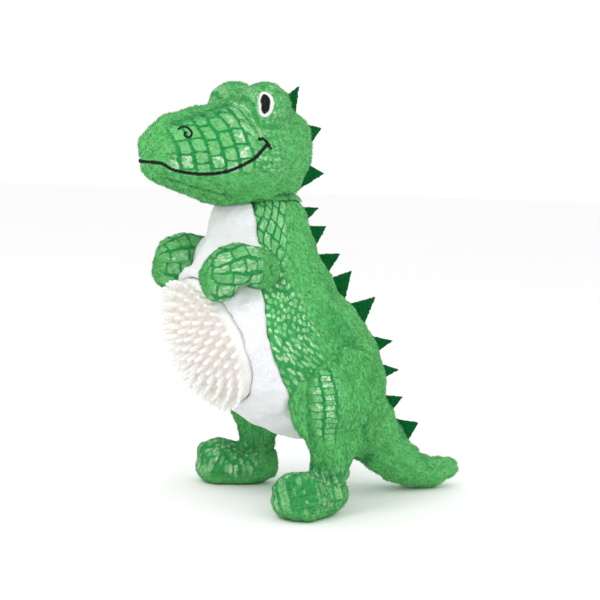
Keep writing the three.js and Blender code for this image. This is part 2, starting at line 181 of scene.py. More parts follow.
def meshPiece(name, points, faces):
    faces = np.asarray(faces, np.int32)
    mesh = bpy.data.meshes.new(name)
    mesh.vertices.add(len(points))
    mesh.vertices.foreach_set("co", np.asarray(points, np.float32).ravel())
    mesh.loops.add(faces.size)
    mesh.loops.foreach_set("vertex_index", faces.ravel())
    mesh.polygons.add(len(faces))
    mesh.polygons.foreach_set("loop_start", np.arange(0, faces.size, faces.shape[1], dtype=np.int32))
    mesh.update(calc_edges=True)
    return placed(name, mesh)


# A closed piece from faces of any number of corners, with its normals turned outward.
def closedPiece(name, points, faces):
    mesh = bpy.data.meshes.new(name)
    mesh.from_pydata([tuple(p) for p in points], [], faces)
    piece = placed(name, mesh)
    normalsOut(piece)
    return piece


def normalsOut(piece):
    pick(piece)
    onWholeMesh((bpy.ops.mesh.normals_make_consistent, {"inside": False}))


def surfaceOf(pieces):
    points, faces = [], []
    for piece in pieces:
        start = len(points)
        points += [v.co for v in piece.data.vertices]
        faces += [[start + i for i in p.vertices] for p in piece.data.polygons]
    return BVHTree.FromPolygons(points, faces)


def mirroredCopy(piece, name):
    copy = duplicated(piece, name)
    writePoints(copy, readPoints(copy) * [-1, 1, 1])
    onWholeMesh((bpy.ops.mesh.flip_normals, {}))
    return copy


def smooth(value, low, high):
    t = np.clip((value - low) / (high - low), 0, 1)
    return t * t * (3 - 2 * t)


def hill(value, width):
    return np.exp(-((value / width) ** 2))


# Value noise from a few seeded waves, smooth and the same on every run.
def ripples(points, length, seed, waves=24):
    dice = np.random.default_rng(seed)
    turns = dice.normal(size=(waves, 3))
    turns *= (
        (2 * math.pi / length)
        * dice.uniform(0.6, 1.4, (waves, 1))
        / np.linalg.norm(turns, axis=1, keepdims=True)
    )
    return np.sin(points @ turns.T + dice.uniform(0, 2 * math.pi, waves)).sum(1) / math.sqrt(waves / 2)


# Distance from each point to a line through the given places, and how far along that line it is.
def alongLine(points, line):
    line = np.asarray(line, float)
    near = np.full(len(points), 1e9)
    along = np.zeros(len(points))
    walked = 0
    for a, b in zip(line[:-1], line[1:]):
        span = b - a
        length = np.linalg.norm(span)
        t = np.clip((points - a) @ span / length**2, 0, 1)
        distance = np.linalg.norm(points - a - t[:, None] * span, axis=1)
        better = distance < near
        near[better] = distance[better]
        along[better] = (walked + t * length)[better]
        walked += length
    return near, along


def curveThrough(places, steps):
    places = np.asarray(places, float)
    padded = np.vstack([2 * places[0] - places[1], places, 2 * places[-1] - places[-2]])
    line = []
    for i in range(len(places) - 1):
        a, b, c, d = padded[i : i + 4]
        for t in np.arange(steps) / steps:
            square, cube = 2 * a - 5 * b + 4 * c - d, 3 * b - a - 3 * c + d
            line.append(0.5 * (2 * b + (c - a) * t + square * t**2 + cube * t**3))
    return np.array(line + [places[-1]])


# ---------- stuffed shapes ----------
stuffing = {
    "voxel": 3 * mm,  # size of the cloth's faces before they are divided
    "torsoVoxel": 2.3 * mm,
    "collarVoxel": 1.8 * mm,
    "coverReach": 4.5 * mm,  # the cover lies this close over the filling
    "pressure": 4,
    "clothMass": 0.0006,
    "stretch": 5,
    "shear": 2,
    "bending": 0.02,
    "slack": 0.03,  # cloth cut this much larger than the shape
    "cap": 1.6 * mm,
    "frames": 20,
    "pinReach": 3,  # mm from another stuffed part within which the cloth is held
    "fill": 0.9,
}
torsoPanels = ["belly_panel", "back_panel_left", "back_panel_right"]
headPanels = ["head_gusset", "chin_panel", "head_side_left", "head_side_right"]


def plug(kind, centre, sizes):
    add = {"ball": bpy.ops.mesh.primitive_uv_sphere_add, "bar": bpy.ops.mesh.primitive_cylinder_add}[kind]
    bpy.ops.object.select_all(action="DESELECT")
    add(radius=1, location=toWorld(centre), rotation=(toy["lean"], 0, 0))
    piece = bpy.context.object
    if kind == "bar":
        piece.rotation_euler = (toy["lean"], math.pi / 2, 0)
    piece.scale = [size * mm for size in sizes]
    bpy.ops.object.transform_apply(location=True, rotation=True, scale=True)
    return piece


def overFilling(name, fillings, covers, plugs=()):
    piece = copyOfNodes(name, fillings)
    if plugs:
        joinedTo(piece, plugs)
    shaped(piece, "REMESH", mode="VOXEL", voxel_size=stuffing["voxel"])
    shaped(piece, "SMOOTH", factor=0.5, iterations=3)
    cover = surfaceOf([frame["nodes"][n] for n in covers])
    reach = stuffing["coverReach"]
    points = readPoints(piece)
    for i, (point, normal) in enumerate(zip(points.copy(), readNormals(piece))):
        start = Vector(point + normal * reach)
        hit = cover.ray_cast(start, Vector(-normal), reach + 1 * mm)[0]
        if hit:
            points[i] = hit
    writePoints(piece, points)
    shaped(piece, "SMOOTH", factor=0.5, iterations=2)
    return piece


def inflated(piece, pinned):
    pick(piece)
    group = piece.vertex_groups.new(name="sewn")
    group.add([int(i) for i in np.nonzero(pinned)[0]], 1.0, "REPLACE")
    start = readPoints(piece)
    cloth = piece.modifiers.new("Cloth", "CLOTH")
    settings = cloth.settings
    settings.quality = 5
    settings.mass = stuffing["clothMass"]
    settings.tension_stiffness = settings.compression_stiffness = stuffing["stretch"]
    settings.shear_stiffness = stuffing["shear"]
    settings.bending_stiffness = stuffing["bending"]
    settings.use_pressure = True
    settings.uniform_pressure_force = stuffing["pressure"]
    settings.shrink_min = -stuffing["slack"]
    settings.vertex_group_mass = group.name
    settings.effector_weights.gravity = 0
    cloth.point_cache.frame_start = 1
    cloth.point_cache.frame_end = stuffing["frames"]
    for step in range(1, stuffing["frames"] + 1):
        bpy.context.scene.frame_set(step)
    bpy.ops.object.modifier_apply(modifier=cloth.name)
    piece.vertex_groups.clear()
    move = readPoints(piece) - start
    length = np.linalg.norm(move, axis=1, keepdims=True)
    print(f"  {piece.name}: cloth moved {length.mean() / mm:.2f} mm, at most {length.max() / mm:.2f} mm")
    move *= np.minimum(1, stuffing["cap"] / np.maximum(length, 1e-9))
    writePoints(piece, start + move)
    bpy.context.scene.frame_set(1)


def divided(piece, levels=2):
    shaped(piece, "SUBSURF", levels=levels, render_levels=levels)
    pick(piece)
    bpy.ops.object.shade_smooth()


def raised(piece, height):
    writePoints(piece, readPoints(piece) + readNormals(piece) * np.asarray(height)[:, None] * mm)


# A sewn seam: a groove with small puckers where the thread pulls, and the groove's share, which is used for
# painted shade.
def seam(points, line, depth=0.8, width=1.3, pitch=3.4):
    near, along = alongLine(points, line)
    groove = hill(near, width)
    pucker = hill(near, 3.6) * np.cos(2 * math.pi * along / pitch) * 0.22
    return -depth * groove + pucker * (1 - groove), groove


print("stage: helpers ready")

# ---------- camera, floor and light ----------
view = {
    "azimuth": math.radians(60),
    "elevation": math.radians(8),
    "distance": 1000,
    "aim": (0, 0, 135),
    "aimUp": -7.0,
    "lens": 97.8,
    "skyStrength": 1.02,
}


def makeCamera():
    a, e = view["azimuth"], view["elevation"]
    back = np.array([math.sin(a) * math.cos(e), -math.cos(a) * math.cos(e), math.sin(e)])
    right = np.array([math.cos(a), math.sin(a), 0])
    up = np.cross(back, right)
    aim = np.array(view["aim"]) + up * view["aimUp"]
    camera = placed("camera", bpy.data.cameras.new("camera"))
    camera.data.lens = view["lens"]
    camera.data.sensor_width = 36
    camera.data.clip_end = 20
    turn = Matrix([turnedWorld(right), turnedWorld(up), turnedWorld(back)]).transposed()
    camera.matrix_world = Matrix.Translation(toWorld(aim + back * view["distance"])) @ turn.to_4x4()
    bpy.context.scene.camera = camera


makeCamera()


def softLight(name, place, aim, size, power):
    lamp = bpy.data.lights.new(name, "AREA")
    lamp.shape = "RECTANGLE"
    lamp.size, lamp.size_y = size
    lamp.energy = power
    holder = placed(name, lamp)
    holder.location = place
    holder.rotation_euler = (Vector(aim) - Vector(place)).to_track_quat("-Z", "Y").to_euler()


lamps = {
    "key": {"place": (0.35, -0.85, 0.95), "aim": (0, 0, 0.12), "size": (0.40, 0.40), "power": 3.6},
    "side": {"place": (1.10, 0.10, 0.55), "aim": (0, 0, 0.12), "size": (0.8, 0.8), "power": 1.2},
    "back": {"place": (0.3, 0.9, 0.8), "aim": (0, 0, 0.14), "size": (0.7, 0.7), "power": 1.4},
}
for name, plan in lamps.items():
    softLight(name, **plan)

world = bpy.data.worlds.new("studio")
bpy.context.scene.world = world
world.use_nodes = True
world.node_tree.nodes["Background"].inputs["Color"].default_value = (1, 1, 1, 1)
world.node_tree.nodes["Background"].inputs["Strength"].default_value = view["skyStrength"]
bpy.context.scene.view_settings.view_transform = "Standard"


# ---------- materials ----------
def linear(hexColor):
    channels = [int(hexColor[i : i + 2], 16) / 255 for i in (1, 3, 5)]
    return tuple(c / 12.92 if c <= 0.04045 else ((c + 0.055) / 1.055) ** 2.4 for c in channels) + (1,)


def newMaterial(name, **sockets):
    material = bpy.data.materials.new(name)
    material.use_nodes = True
    shader = material.node_tree.nodes["Principled BSDF"]
    for key, value in sockets.items():
        shader.inputs[key.replace("_", " ")].default_value = value
    return material, material.node_tree, shader


def addNode(tree, kind, inputs=(), output=0, **settings):
    node = tree.nodes.new("ShaderNode" + kind)
    for key, value in settings.items():
        setattr(node, key, value)
    for socket, value in inputs.items() if isinstance(inputs, dict) else enumerate(inputs):
        if isinstance(value, bpy.types.NodeSocket):
            tree.links.new(value, node.inputs[socket])
        else:
            node.inputs[socket].default_value = value
    return node.outputs[output]


# settings that many nodes share
soft = {"interpolation_type": "SMOOTHSTEP"}
times, plus, minus = {"operation": "MULTIPLY"}, {"operation": "ADD"}, {"operation": "SUBTRACT"}
blended = {"output": 2, "data_type": "RGBA"}  # colours go in sockets 6 and 7

plush = {
    "gap": "#129A4C",  # the foil leaves the dark ground of the pile bare between scales
    "gapDeep": "#087A3A",
    "cell": "#5DB565",
    "cellPale": "#76C479",
    "pile": "#58B864",
    "pileDeep": "#2A9E50",
    "pilePale": "#8FCB84",
    "paintedGlint": "#DFF0DA",
    "jitter": 0.7,
    "wobble": 0.5,
    "columnGap": (0.0, 0.33),  # share of a scale's width that stays bare at each side
    "rowGap": (0.0, 0.19),
    "ovalEdge": (0.30, 0.44),
}


# Polyester pile with a foil print: short bright pile, darker where it parts, and scales that the press has
# laid flat, so they are paler and smoother, with painted highlights as glints on them; seams, grooves and
# creases get painted shade.
def greenPlush():
    material, tree, shader = newMaterial(
        "foil-printed pile plush", Roughness=0.75, Sheen_Weight=0.16, Sheen_Roughness=0.45
    )
    shader.inputs["Sheen Tint"].default_value = (0.75, 1, 0.75, 1)
    shader.inputs["Coat Roughness"].default_value = 0.22
    shader.inputs["Specular IOR Level"].default_value = 0.35
    grid = addNode(tree, "Attribute", output="Vector", attribute_name="scaleGrid")
    printing = addNode(tree, "Attribute", output="Fac", attribute_name="printing")
    stripes = addNode(tree, "Attribute", output="Fac", attribute_name="stripes")
    paintedShadeTone = addNode(tree, "Attribute", output="Fac", attribute_name="paintedShadeTone")
    strand = addNode(tree, "Attribute", output="Fac", attribute_name="strand")
    combed = addNode(tree, "Attribute", output="Vector", attribute_name="combed")

    wobble = addNode(tree, "TexNoise", {"Vector": grid, "Scale": 0.9, "Detail": 2.0}, "Color")
    away = addNode(tree, "VectorMath", (wobble, (0.5, 0.5, 0.5)), **minus)
    small = addNode(tree, "VectorMath", {0: away, "Scale": plush["wobble"]}, operation="SCALE")
    bent = addNode(tree, "VectorMath", (grid, small), **plus)
    axisX = addNode(tree, "SeparateXYZ", (bent,))
    axisY = axisX.node.outputs["Y"]

    # scales in columns: each column has its own shift and its own length of scale
    column = addNode(tree, "Math", (axisX,), operation="FLOOR")
    across = addNode(tree, "Math", (axisX, column), **minus)
    columnDice = addNode(tree, "TexWhiteNoise", {"W": column}, "Value", noise_dimensions="1D")
    longer = addNode(tree, "Math", (addNode(tree, "Math", (columnDice, 0.5), **times), 0.8), **plus)
    run = addNode(
        tree,
        "Math",
        (addNode(tree, "Math", (axisY, longer), **times), addNode(tree, "Math", (columnDice, 7), **times)),
        **plus,
    )
    row = addNode(tree, "Math", (run,), operation="FLOOR")
    along = addNode(tree, "Math", (run, row), **minus)
    fromSide = addNode(
        tree, "Math", (across, addNode(tree, "Math", (1, across), **minus)), operation="MINIMUM"
    )
    fromEnd = addNode(tree, "Math", (along, addNode(tree, "Math", (1, along), **minus)), operation="MINIMUM")
    brick = addNode(
        tree,
        "Math",
        (
            addNode(tree, "MapRange", (fromSide, *plush["columnGap"]), **soft),
            addNode(tree, "MapRange", (fromEnd, *plush["rowGap"]), **soft),
        ),
        **times,
    )
    brick = addNode(tree, "MapRange", (brick, 0.22, 0.42), **soft)
    place = addNode(tree, "CombineXYZ", {"X": column, "Y": row})
    brickDice = addNode(tree, "TexWhiteNoise", {"Vector": place}, "Value", noise_dimensions="2D")

    # small oval scales, loosely scattered
    spots = addNode(
        tree,
        "TexVoronoi",
        {"Vector": bent, "Scale": 1.0, "Randomness": plush["jitter"]},
        voronoi_dimensions="2D",
        feature="F1",
    )
    oval = addNode(tree, "MapRange", (spots, *plush["ovalEdge"], 1, 0), **soft)
    spotDice = addNode(tree, "SeparateColor", {"Color": spots.node.outputs["Color"]})
    ovals = addNode(tree, "Attribute", output="Fac", attribute_name="ovals")
    cell = addNode(tree, "Mix", {0: ovals, 2: brick, 3: oval})
    chance = addNode(tree, "Mix", {0: ovals, 2: brickDice, 3: spotDice})

    streak = addNode(
        tree, "TexNoise", {"Vector": combed, "Scale": 1.0, "Detail": 4.0, "Roughness": 0.6}, "Fac"
    )
    patch = addNode(tree, "TexNoise", {"Vector": combed, "Scale": 0.16, "Detail": 2.0}, "Fac")
    lay = addNode(
        tree,
        "Math",
        (addNode(tree, "Math", (streak, 0.6), **times), addNode(tree, "Math", (strand, 0.4), **times)),
        **plus,
    )

    pile = addNode(
        tree,
        "Mix",
        {
            0: addNode(tree, "MapRange", (lay, 0.28, 0.5), **soft),
            6: linear(plush["pileDeep"]),
            7: linear(plush["pile"]),
        },
        **blended,
    )
    pile = addNode(
        tree,
        "Mix",
        {
            0: addNode(tree, "MapRange", (lay, 0.5, 0.78, 0, 0.7), **soft),
            6: pile,
            7: linear(plush["pilePale"]),
        },
        **blended,
    )
    pile = addNode(
        tree,
        "Mix",
        {
            0: addNode(tree, "MapRange", (patch, 0.55, 0.72, 0, 0.28), **soft),
            6: pile,
            7: linear(plush["pileDeep"]),
        },
        **blended,
    )
    gap = addNode(
        tree,
        "Mix",
        {
            0: addNode(tree, "MapRange", (lay, 0.35, 0.65), **soft),
            6: linear(plush["gapDeep"]),
            7: linear(plush["gap"]),
        },
        **blended,
    )
    flat = addNode(
        tree,
        "Mix",
        {
            0: addNode(tree, "MapRange", (lay, 0.3, 0.7), **soft),
            6: linear(plush["cell"]),
            7: linear(plush["cellPale"]),
        },
        **blended,
    )
    flat = addNode(
        tree,
        "Mix",
        {0: addNode(tree, "Math", (chance, 0.3), **times), 6: flat, 7: linear(plush["pile"])},
        **blended,
    )
    ground = addNode(
        tree, "Mix", {0: addNode(tree, "Math", (ovals, 0.3), **times), 6: gap, 7: pile}, **blended
    )
    printed = addNode(tree, "Mix", {0: cell, 6: ground, 7: flat}, **blended)
    color = addNode(tree, "Mix", {0: printing, 6: pile, 7: printed}, **blended)
    color = addNode(
        tree, "Mix", {0: addNode(tree, "Math", (stripes, 0.9), **times), 6: color, 7: gap}, **blended
    )

    # painted highlight: pale glints mixed into the colour of the printed scales where the foil is
    grain = addNode(tree, "TexNoise", {"Vector": bent, "Scale": 2.6, "Detail": 3.0, "Roughness": 0.7}, "Fac")
    paintedGlints = addNode(
        tree,
        "Math",
        (
            addNode(tree, "MapRange", (grain, 0.46, 0.6), **soft),
            addNode(tree, "MapRange", (chance, 0.35, 0.6), **soft),
        ),
        **times,
    )
    paintedGlints = addNode(tree, "Math", (paintedGlints, addNode(tree, "Math", (cell, printing), **times)), **times)
    foil = addNode(tree, "Attribute", output="Fac", attribute_name="foil")
    paintedGlints = addNode(tree, "Math", (paintedGlints, foil), **times)
    color = addNode(
        tree,
        "Mix",
        {0: addNode(tree, "Math", (paintedGlints, 0.8), **times), 6: color, 7: linear(plush["paintedGlint"])},
        **blended,
    )
    # painted shade: darkens the colour in seam grooves and creases
    shade = addNode(
        tree,
        "Mix",
        {0: addNode(tree, "MapRange", (paintedShadeTone, 0, 1), **soft), 6: (0.42, 0.5, 0.42, 1), 7: (1, 1, 1, 1)},
        **blended,
    )
    color = addNode(tree, "Mix", {0: 1.0, 6: color, 7: shade}, blend_type="MULTIPLY", **blended)
    tree.links.new(color, shader.inputs["Base Color"])
    smoothness = addNode(tree, "Math", (addNode(tree, "Math", (cell, printing), **times), foil), **times)
    tree.links.new(
        addNode(tree, "MapRange", (smoothness, 0, 1, 0.8, 0.42), **soft), shader.inputs["Roughness"]
    )
    tree.links.new(addNode(tree, "Math", (smoothness, 0.45), **times), shader.inputs["Coat Weight"])

    relief = addNode(
        tree,
        "Math",
        (
            addNode(tree, "Math", (addNode(tree, "Math", (cell, printing), **times), 0.7), **times),
            addNode(tree, "Math", (streak, 0.55), **times),
        ),
        **plus,
    )
    bump = addNode(tree, "Bump", {"Height": relief, "Strength": 0.4, "Distance": 0.8 * mm})
    tree.links.new(bump, shader.inputs["Normal"])
    return material


# Brushed polyester velour: white, even and soft, with a very short nap that greys at a slant.
def whiteVelour():
    material, tree, shader = newMaterial("white velour", Roughness=0.9, Sheen_Weight=0.4, Sheen_Roughness=0.5)
    place = addNode(tree, "TexCoord", output="Object")
    nap = addNode(
        tree, "TexNoise", {"Vector": place, "Scale": 1100.0, "Detail": 3.0, "Roughness": 0.7}, "Fac"
    )
    cloud = addNode(tree, "TexNoise", {"Vector": place, "Scale": 70.0, "Detail": 2.0}, "Fac")
    paintedShadeTone = addNode(tree, "Attribute", output="Fac", attribute_name="paintedShadeTone")
    color = addNode(
        tree,
        "Mix",
        {0: addNode(tree, "MapRange", (nap, 0.3, 0.7), **soft), 6: linear("#DCDCE0"), 7: linear("#F0F0F3")},
        **blended,
    )
    color = addNode(
        tree,
        "Mix",
        {0: addNode(tree, "MapRange", (cloud, 0.35, 0.75, 0, 0.25), **soft), 6: color, 7: linear("#D2D3DA")},
        **blended,
    )
    # painted shade: darkens the velour along the seam groove
    shade = addNode(
        tree,
        "Mix",
        {0: addNode(tree, "MapRange", (paintedShadeTone, 0, 1), **soft), 6: (0.62, 0.64, 0.68, 1), 7: (1, 1, 1, 1)},
        **blended,
    )
    tree.links.new(
        addNode(tree, "Mix", {0: 1.0, 6: color, 7: shade}, blend_type="MULTIPLY", **blended),
        shader.inputs["Base Color"],
    )
    bump = addNode(tree, "Bump", {"Height": nap, "Strength": 0.35, "Distance": 0.35 * mm})
    tree.links.new(bump, shader.inputs["Normal"])
    return material


# Needle-punched polyester felt: matt, dark green, with fibres lying every way.
def greenFelt():
    material, tree, shader = newMaterial("dark green felt", Roughness=1.0)
    shader.inputs["Specular IOR Level"].default_value = 0.15
    place = addNode(tree, "TexCoord", output="Object")
    fibre = addNode(
        tree,
        "TexNoise",
        {"Vector": place, "Scale": 620.0, "Detail": 5.0, "Roughness": 0.75, "Distortion": 1.2},
        "Fac",
    )
    cloud = addNode(tree, "TexNoise", {"Vector": place, "Scale": 160.0, "Detail": 2.0}, "Fac")
    color = addNode(
        tree,
        "Mix",
        {
            0: addNode(tree, "MapRange", (fibre, 0.3, 0.72), **soft),
            6: linear("#00461F"),
            7: linear("#066F31"),
        },
        **blended,
    )
    color = addNode(
        tree,
        "Mix",
        {0: addNode(tree, "MapRange", (cloud, 0.4, 0.7, 0, 0.35), **soft), 6: color, 7: linear("#00552A")},
        **blended,
    )
    tree.links.new(color, shader.inputs["Base Color"])
    bump = addNode(tree, "Bump", {"Height": fibre, "Strength": 0.6, "Distance": 0.5 * mm})
    tree.links.new(bump, shader.inputs["Normal"])
    return material


# Trilobal polyester embroidery thread: a soft gloss, with fine twist along each strand.
def thread(name, low, high):
    material, tree, shader = newMaterial(name, Roughness=0.55)
    shader.inputs["Specular IOR Level"].default_value = 0.25
    place = addNode(tree, "TexCoord", output="Object")
    twist = addNode(tree, "TexNoise", {"Vector": place, "Scale": 1500.0, "Detail": 2.0}, "Fac")
    tree.links.new(
        addNode(
            tree,
            "Mix",
            {0: addNode(tree, "MapRange", (twist, 0.3, 0.7), **soft), 6: linear(low), 7: linear(high)},
            **blended,
        ),
        shader.inputs["Base Color"],
    )
    bump = addNode(tree, "Bump", {"Height": twist, "Strength": 0.4, "Distance": 0.2 * mm})
    tree.links.new(bump, shader.inputs["Normal"])
    return material


# Injection-moulded thermoplastic rubber: milky, soft and glossy, light goes a little way in.
def milkyRubber():
    material, tree, shader = newMaterial(
        "milky thermoplastic rubber", Roughness=0.28, Subsurface_Weight=0.55, Subsurface_Scale=0.004, IOR=1.5
    )
    shader.inputs["Subsurface Radius"].default_value = (1.0, 0.86, 0.78)
    shader.inputs["Coat Weight"].default_value = 0.25
    shader.inputs["Coat Roughness"].default_value = 0.12
    place = addNode(tree, "TexCoord", output="Object")
    cloud = addNode(tree, "TexNoise", {"Vector": place, "Scale": 90.0, "Detail": 3.0}, "Fac")
    deep = addNode(tree, "Attribute", output="Fac", attribute_name="deep")
    color = addNode(
        tree,
        "Mix",
        {
            0: addNode(tree, "MapRange", (cloud, 0.35, 0.7), **soft),
            6: linear("#F6F5F1"),
            7: linear("#EFEDE8"),
        },
        **blended,
    )
    # painted shade: a beige darkening in the valleys between the fingers
    color = addNode(
        tree,
        "Mix",
        {0: addNode(tree, "Math", (deep, 0.6), **times), 6: color, 7: linear("#DED2CB")},
        **blended,
    )
    tree.links.new(color, shader.inputs["Base Color"])
    skin = addNode(tree, "TexNoise", {"Vector": place, "Scale": 420.0, "Detail": 2.0}, "Fac")
    bump = addNode(tree, "Bump", {"Height": skin, "Strength": 0.08, "Distance": 0.3 * mm})
    tree.links.new(bump, shader.inputs["Normal"])
    return material


# Blown polyethylene: thin, waxy and a little clear.
def squeakerPlastic():
    material, tree, shader = newMaterial(
        "waxy polyethylene", Roughness=0.4, Subsurface_Weight=0.3, Subsurface_Scale=0.002, IOR=1.51
    )
    place = addNode(tree, "TexCoord", output="Object")
    flow = addNode(tree, "TexNoise", {"Vector": place, "Scale": 130.0, "Detail": 3.0}, "Fac")
    tree.links.new(
        addNode(
            tree,
            "Mix",
            {
                0: addNode(tree, "MapRange", (flow, 0.3, 0.7), **soft),
                6: linear("#D9E1E6"),
                7: linear("#EAF0F3"),
            },
            **blended,
        ),
        shader.inputs["Base Color"],
    )
    return material


# Painted board: pale and even.
def paleFloor():
    material, tree, shader = newMaterial("pale floor", Roughness=0.85)
    place = addNode(tree, "TexCoord", output="Object")
    mottle = addNode(tree, "TexNoise", {"Vector": place, "Scale": 6.0, "Detail": 2.0}, "Fac")
    tree.links.new(
        addNode(tree, "Mix", {0: mottle, 6: linear("#F7F7F7"), 7: linear("#FAFAFA")}, **blended),
        shader.inputs["Base Color"],
    )
    return material


finishes = {
    "plush": greenPlush(),
    "velour": whiteVelour(),
    "felt": greenFelt(),
    "black": thread("black embroidery thread", "#040404", "#131313"),
    "white": thread("white embroidery thread", "#E6E6E4", "#FFFFFF"),
    "rubber": milkyRubber(),
    "plastic": squeakerPlastic(),
    "floor": paleFloor(),
}


def finished(piece, finish, body):
    piece.data.materials.clear()
    piece.data.materials.append(finishes[finish])
    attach(piece, body)


bpy.ops.mesh.primitive_plane_add(size=8)
floor = bpy.context.object
floor.name = "floor"
floor.data.materials.append(finishes["floor"])
print("stage: camera, light and materials ready")

# ---------- what each skin carries: grid of the scales, where the print is, and how the pile lies ----------
def running(position, sizes, start, end):
    places = np.linspace(start, end, 400)
    steps = 1 / sizes(places)
    return np.interp(position, places, np.cumsum(steps) * (places[1] - places[0]))


headPlan = {
    "big": (8.0, 9.4),  # scales on the snout, along it and up it
    "small": (3.0, 3.4),  # beside the eye
    "lean": 0.24,
}


def headPattern(p):
    x, y, z = np.abs(p[:, 0]), p[:, 1], p[:, 2]
    fineAt = lambda place: smooth(place, -54, -42)
    slanted = y + headPlan["lean"] * (z - 216) * (1 - 0.6 * fineAt(y))
    u = running(
        slanted, lambda s: headPlan["big"][0] * (1 - fineAt(s)) + headPlan["small"][0] * fineAt(s), -130, 40
    )
    tall = headPlan["big"][1] * (1 - fineAt(y)) + headPlan["small"][1] * fineAt(y)
    v = (z - 212 - 0.12 * (y + 70)) / tall
    top = 238 + 0.3 * (y + 88) + 14 * smooth(y, -58, -46)
    side = smooth(x, 5, 13)
    where = side * smooth(y, -99, -90) * (1 - smooth(y, -40, -24)) * (1 - smooth(z, top - 1, top + 2.5))
    chin = smooth(z, 196, 206)
    where = where * (0.28 + 0.72 * smooth(z, 207, 213)) * chin * (1 - 0.35 * fineAt(y))
    dark = hill(z - top, 1.6) * side * smooth(y, -96, -90) * (1 - smooth(y, -62, -52))
    # foil: where the scales are glossy, and where painted glints are put, mostly in a band above the mouth
    foil = np.maximum(hill(z - 218, 8), smooth(y, -66, -56)) * smooth(z, 203, 209)
    combed = np.stack([p[:, 0] / 1.1, y / 8, z / 1.1], 1)
    comb = np.stack([0 * x, 0 * x + 1, -0.25 + 0 * x], 1)
    ovals = smooth(y, -52, -46)
    return {
        "grid": (u, v),
        "printing": where,
        "stripes": dark,
        "foil": foil,
        "ovals": ovals,
        "combed": combed,
        "comb": comb,
    }


# seam between belly and back, in the side view: y and z of places along it
bellySeam = np.array(
    [(12, 30), (-2, 52), (-20, 66), (-34, 82), (-43, 100), (-48, 122), (-46, 145), (-43, 165), (-42, 205)]
)


# How far a place lies behind that seam.
def behindSeam(points):
    return points[:, 1] - np.interp(points[:, 2], bellySeam[:, 1], bellySeam[:, 0])


def bodyPattern(p):
    x, y, z = np.abs(p[:, 0]), p[:, 1], p[:, 2]
    behind = behindSeam(p)
    size = np.interp(z, [60, 92, 106, 150, 162], [4.6, 4.4, 3.3, 3.3, 4.8])
    u = (behind - 0.35 * (z - 120) * smooth(z, 100, 125)) / size
    v = (
        running(z, lambda s: np.interp(s, [60, 92, 108, 150, 165], [6.0, 5.2, 4.0, 4.0, 8.5]), 0, 240)
        + 0.12 * behind
    )
    reach = np.interp(z, [60, 80, 100, 118, 135, 150, 165, 190], [20, 24, 30, 30, 24, 14, 16, 20])
    where = (1 - smooth(behind, reach * 0.75, reach * 1.25)) * smooth(x, 4, 10)
    where = where * np.interp(z, [60, 75, 90], [0.3, 0.7, 1])
    foil = np.interp(z, [70, 90, 100, 150, 160, 200], [0.2, 1, 1, 1, 0.6, 0.45])
    creases = ripples(np.stack([x / 2.6, 0 * z, z / 60], 1), 6, 11)
    strokes = smooth(creases, 0.6, 1.5) * (0.5 + 0.35 * (1 - smooth(z, 60, 100))) * smooth(behind, 25, 45)
    combed = np.stack([p[:, 0] / 1.1, y / 1.1, z / 9], 1)
    comb = np.stack([0 * x, 0.12 + 0 * x, -1 + 0 * x], 1)
    ovals = 1 - smooth(z, 150, 165)
    return {
        "grid": (u, v),
        "printing": where,
        "stripes": strokes,
        "foil": foil,
        "ovals": ovals,
        "combed": combed,
        "comb": comb,
    }


footPlan = {"centre": (46, -16), "out": math.radians(20)}


def legPattern(p):
    x, y, z = p[:, 0], p[:, 1], p[:, 2]
    low = 1 - smooth(z, 30, 42)
    out = footPlan["out"]
    ahead = (x - footPlan["centre"][0]) * math.sin(out) - (y - footPlan["centre"][1]) * math.cos(out)
    across = (x - footPlan["centre"][0]) * math.cos(out) + (y - footPlan["centre"][1]) * math.sin(out)
    toes = smooth(ahead, 12, 24)
    u = running(ahead, lambda s: 3.4 + 3.4 * smooth(s, 12, 24), -80, 60)
    v = across / (3.0 + 1.6 * toes) + 0.3 * z / 4
    instep = smooth(z, 9, 17) * smooth(ahead, -14, -4)
    where = low * instep * (1 - 0.4 * smooth(across, 10, 20))
    thigh = smooth(z, 47, 56) * smooth(y, -34, -30) * (1 - smooth(y, -12, -4)) * smooth(x, 50, 56)
    u = np.where(z > 45, (y + 31) / 7.4 + 0.01 * (z - 60), u)
    v = np.where(z > 45, z / 4.4, v)
    creases = ripples(np.stack([x / 3, y / 3, z / 40], 1), 5, 5)
    strokes = smooth(creases, 0.7, 1.5) * 0.7 * smooth(z, 40, 55) * (1 - thigh)
    ankle = hill(z - 33, 7) * 0.5 * smooth(-y, 0, 14)
    combed = np.stack(
        [
            x / 1.1,
            y / 1.1 * smooth(z, 25, 40) + (1 - smooth(z, 25, 40)) * y / 7,
            z / (1.1 + 7 * smooth(z, 25, 40)),
        ],
        1,
    )
    down = smooth(z, 22, 36)
    comb = np.stack([(1 - down) * math.sin(out), -(1 - down) * math.cos(out), -down - 0.1], 1)
    return {
        "grid": (u, v),
        "printing": np.maximum(where, thigh),
        "stripes": np.maximum(strokes, ankle),
        "foil": np.maximum(low * 0.9, thigh),
        "ovals": low,
        "combed": combed,
        "comb": comb,
    }


def armPattern(p):
    x, y, z = p[:, 0], p[:, 1], p[:, 2]
    angle = np.arctan2(z - 153.5, x - 35)
    u = y / 8.6
    v = angle * 12 / 7.6
    where = smooth(-y, 46, 54) * (1 - smooth(-y, 79, 82))
    stripes = 0 * x
    combed = np.stack([x / 1.1, y / 8, z / 1.1], 1)
    comb = np.stack([0 * x, -1 + 0 * x, -0.15 + 0 * x], 1)
    return {
        "grid": (v, u),
        "printing": where * 0.9,
        "stripes": stripes,
        "foil": where * 0.7,
        "ovals": 0 * x,
        "combed": combed,
        "comb": comb,
    }


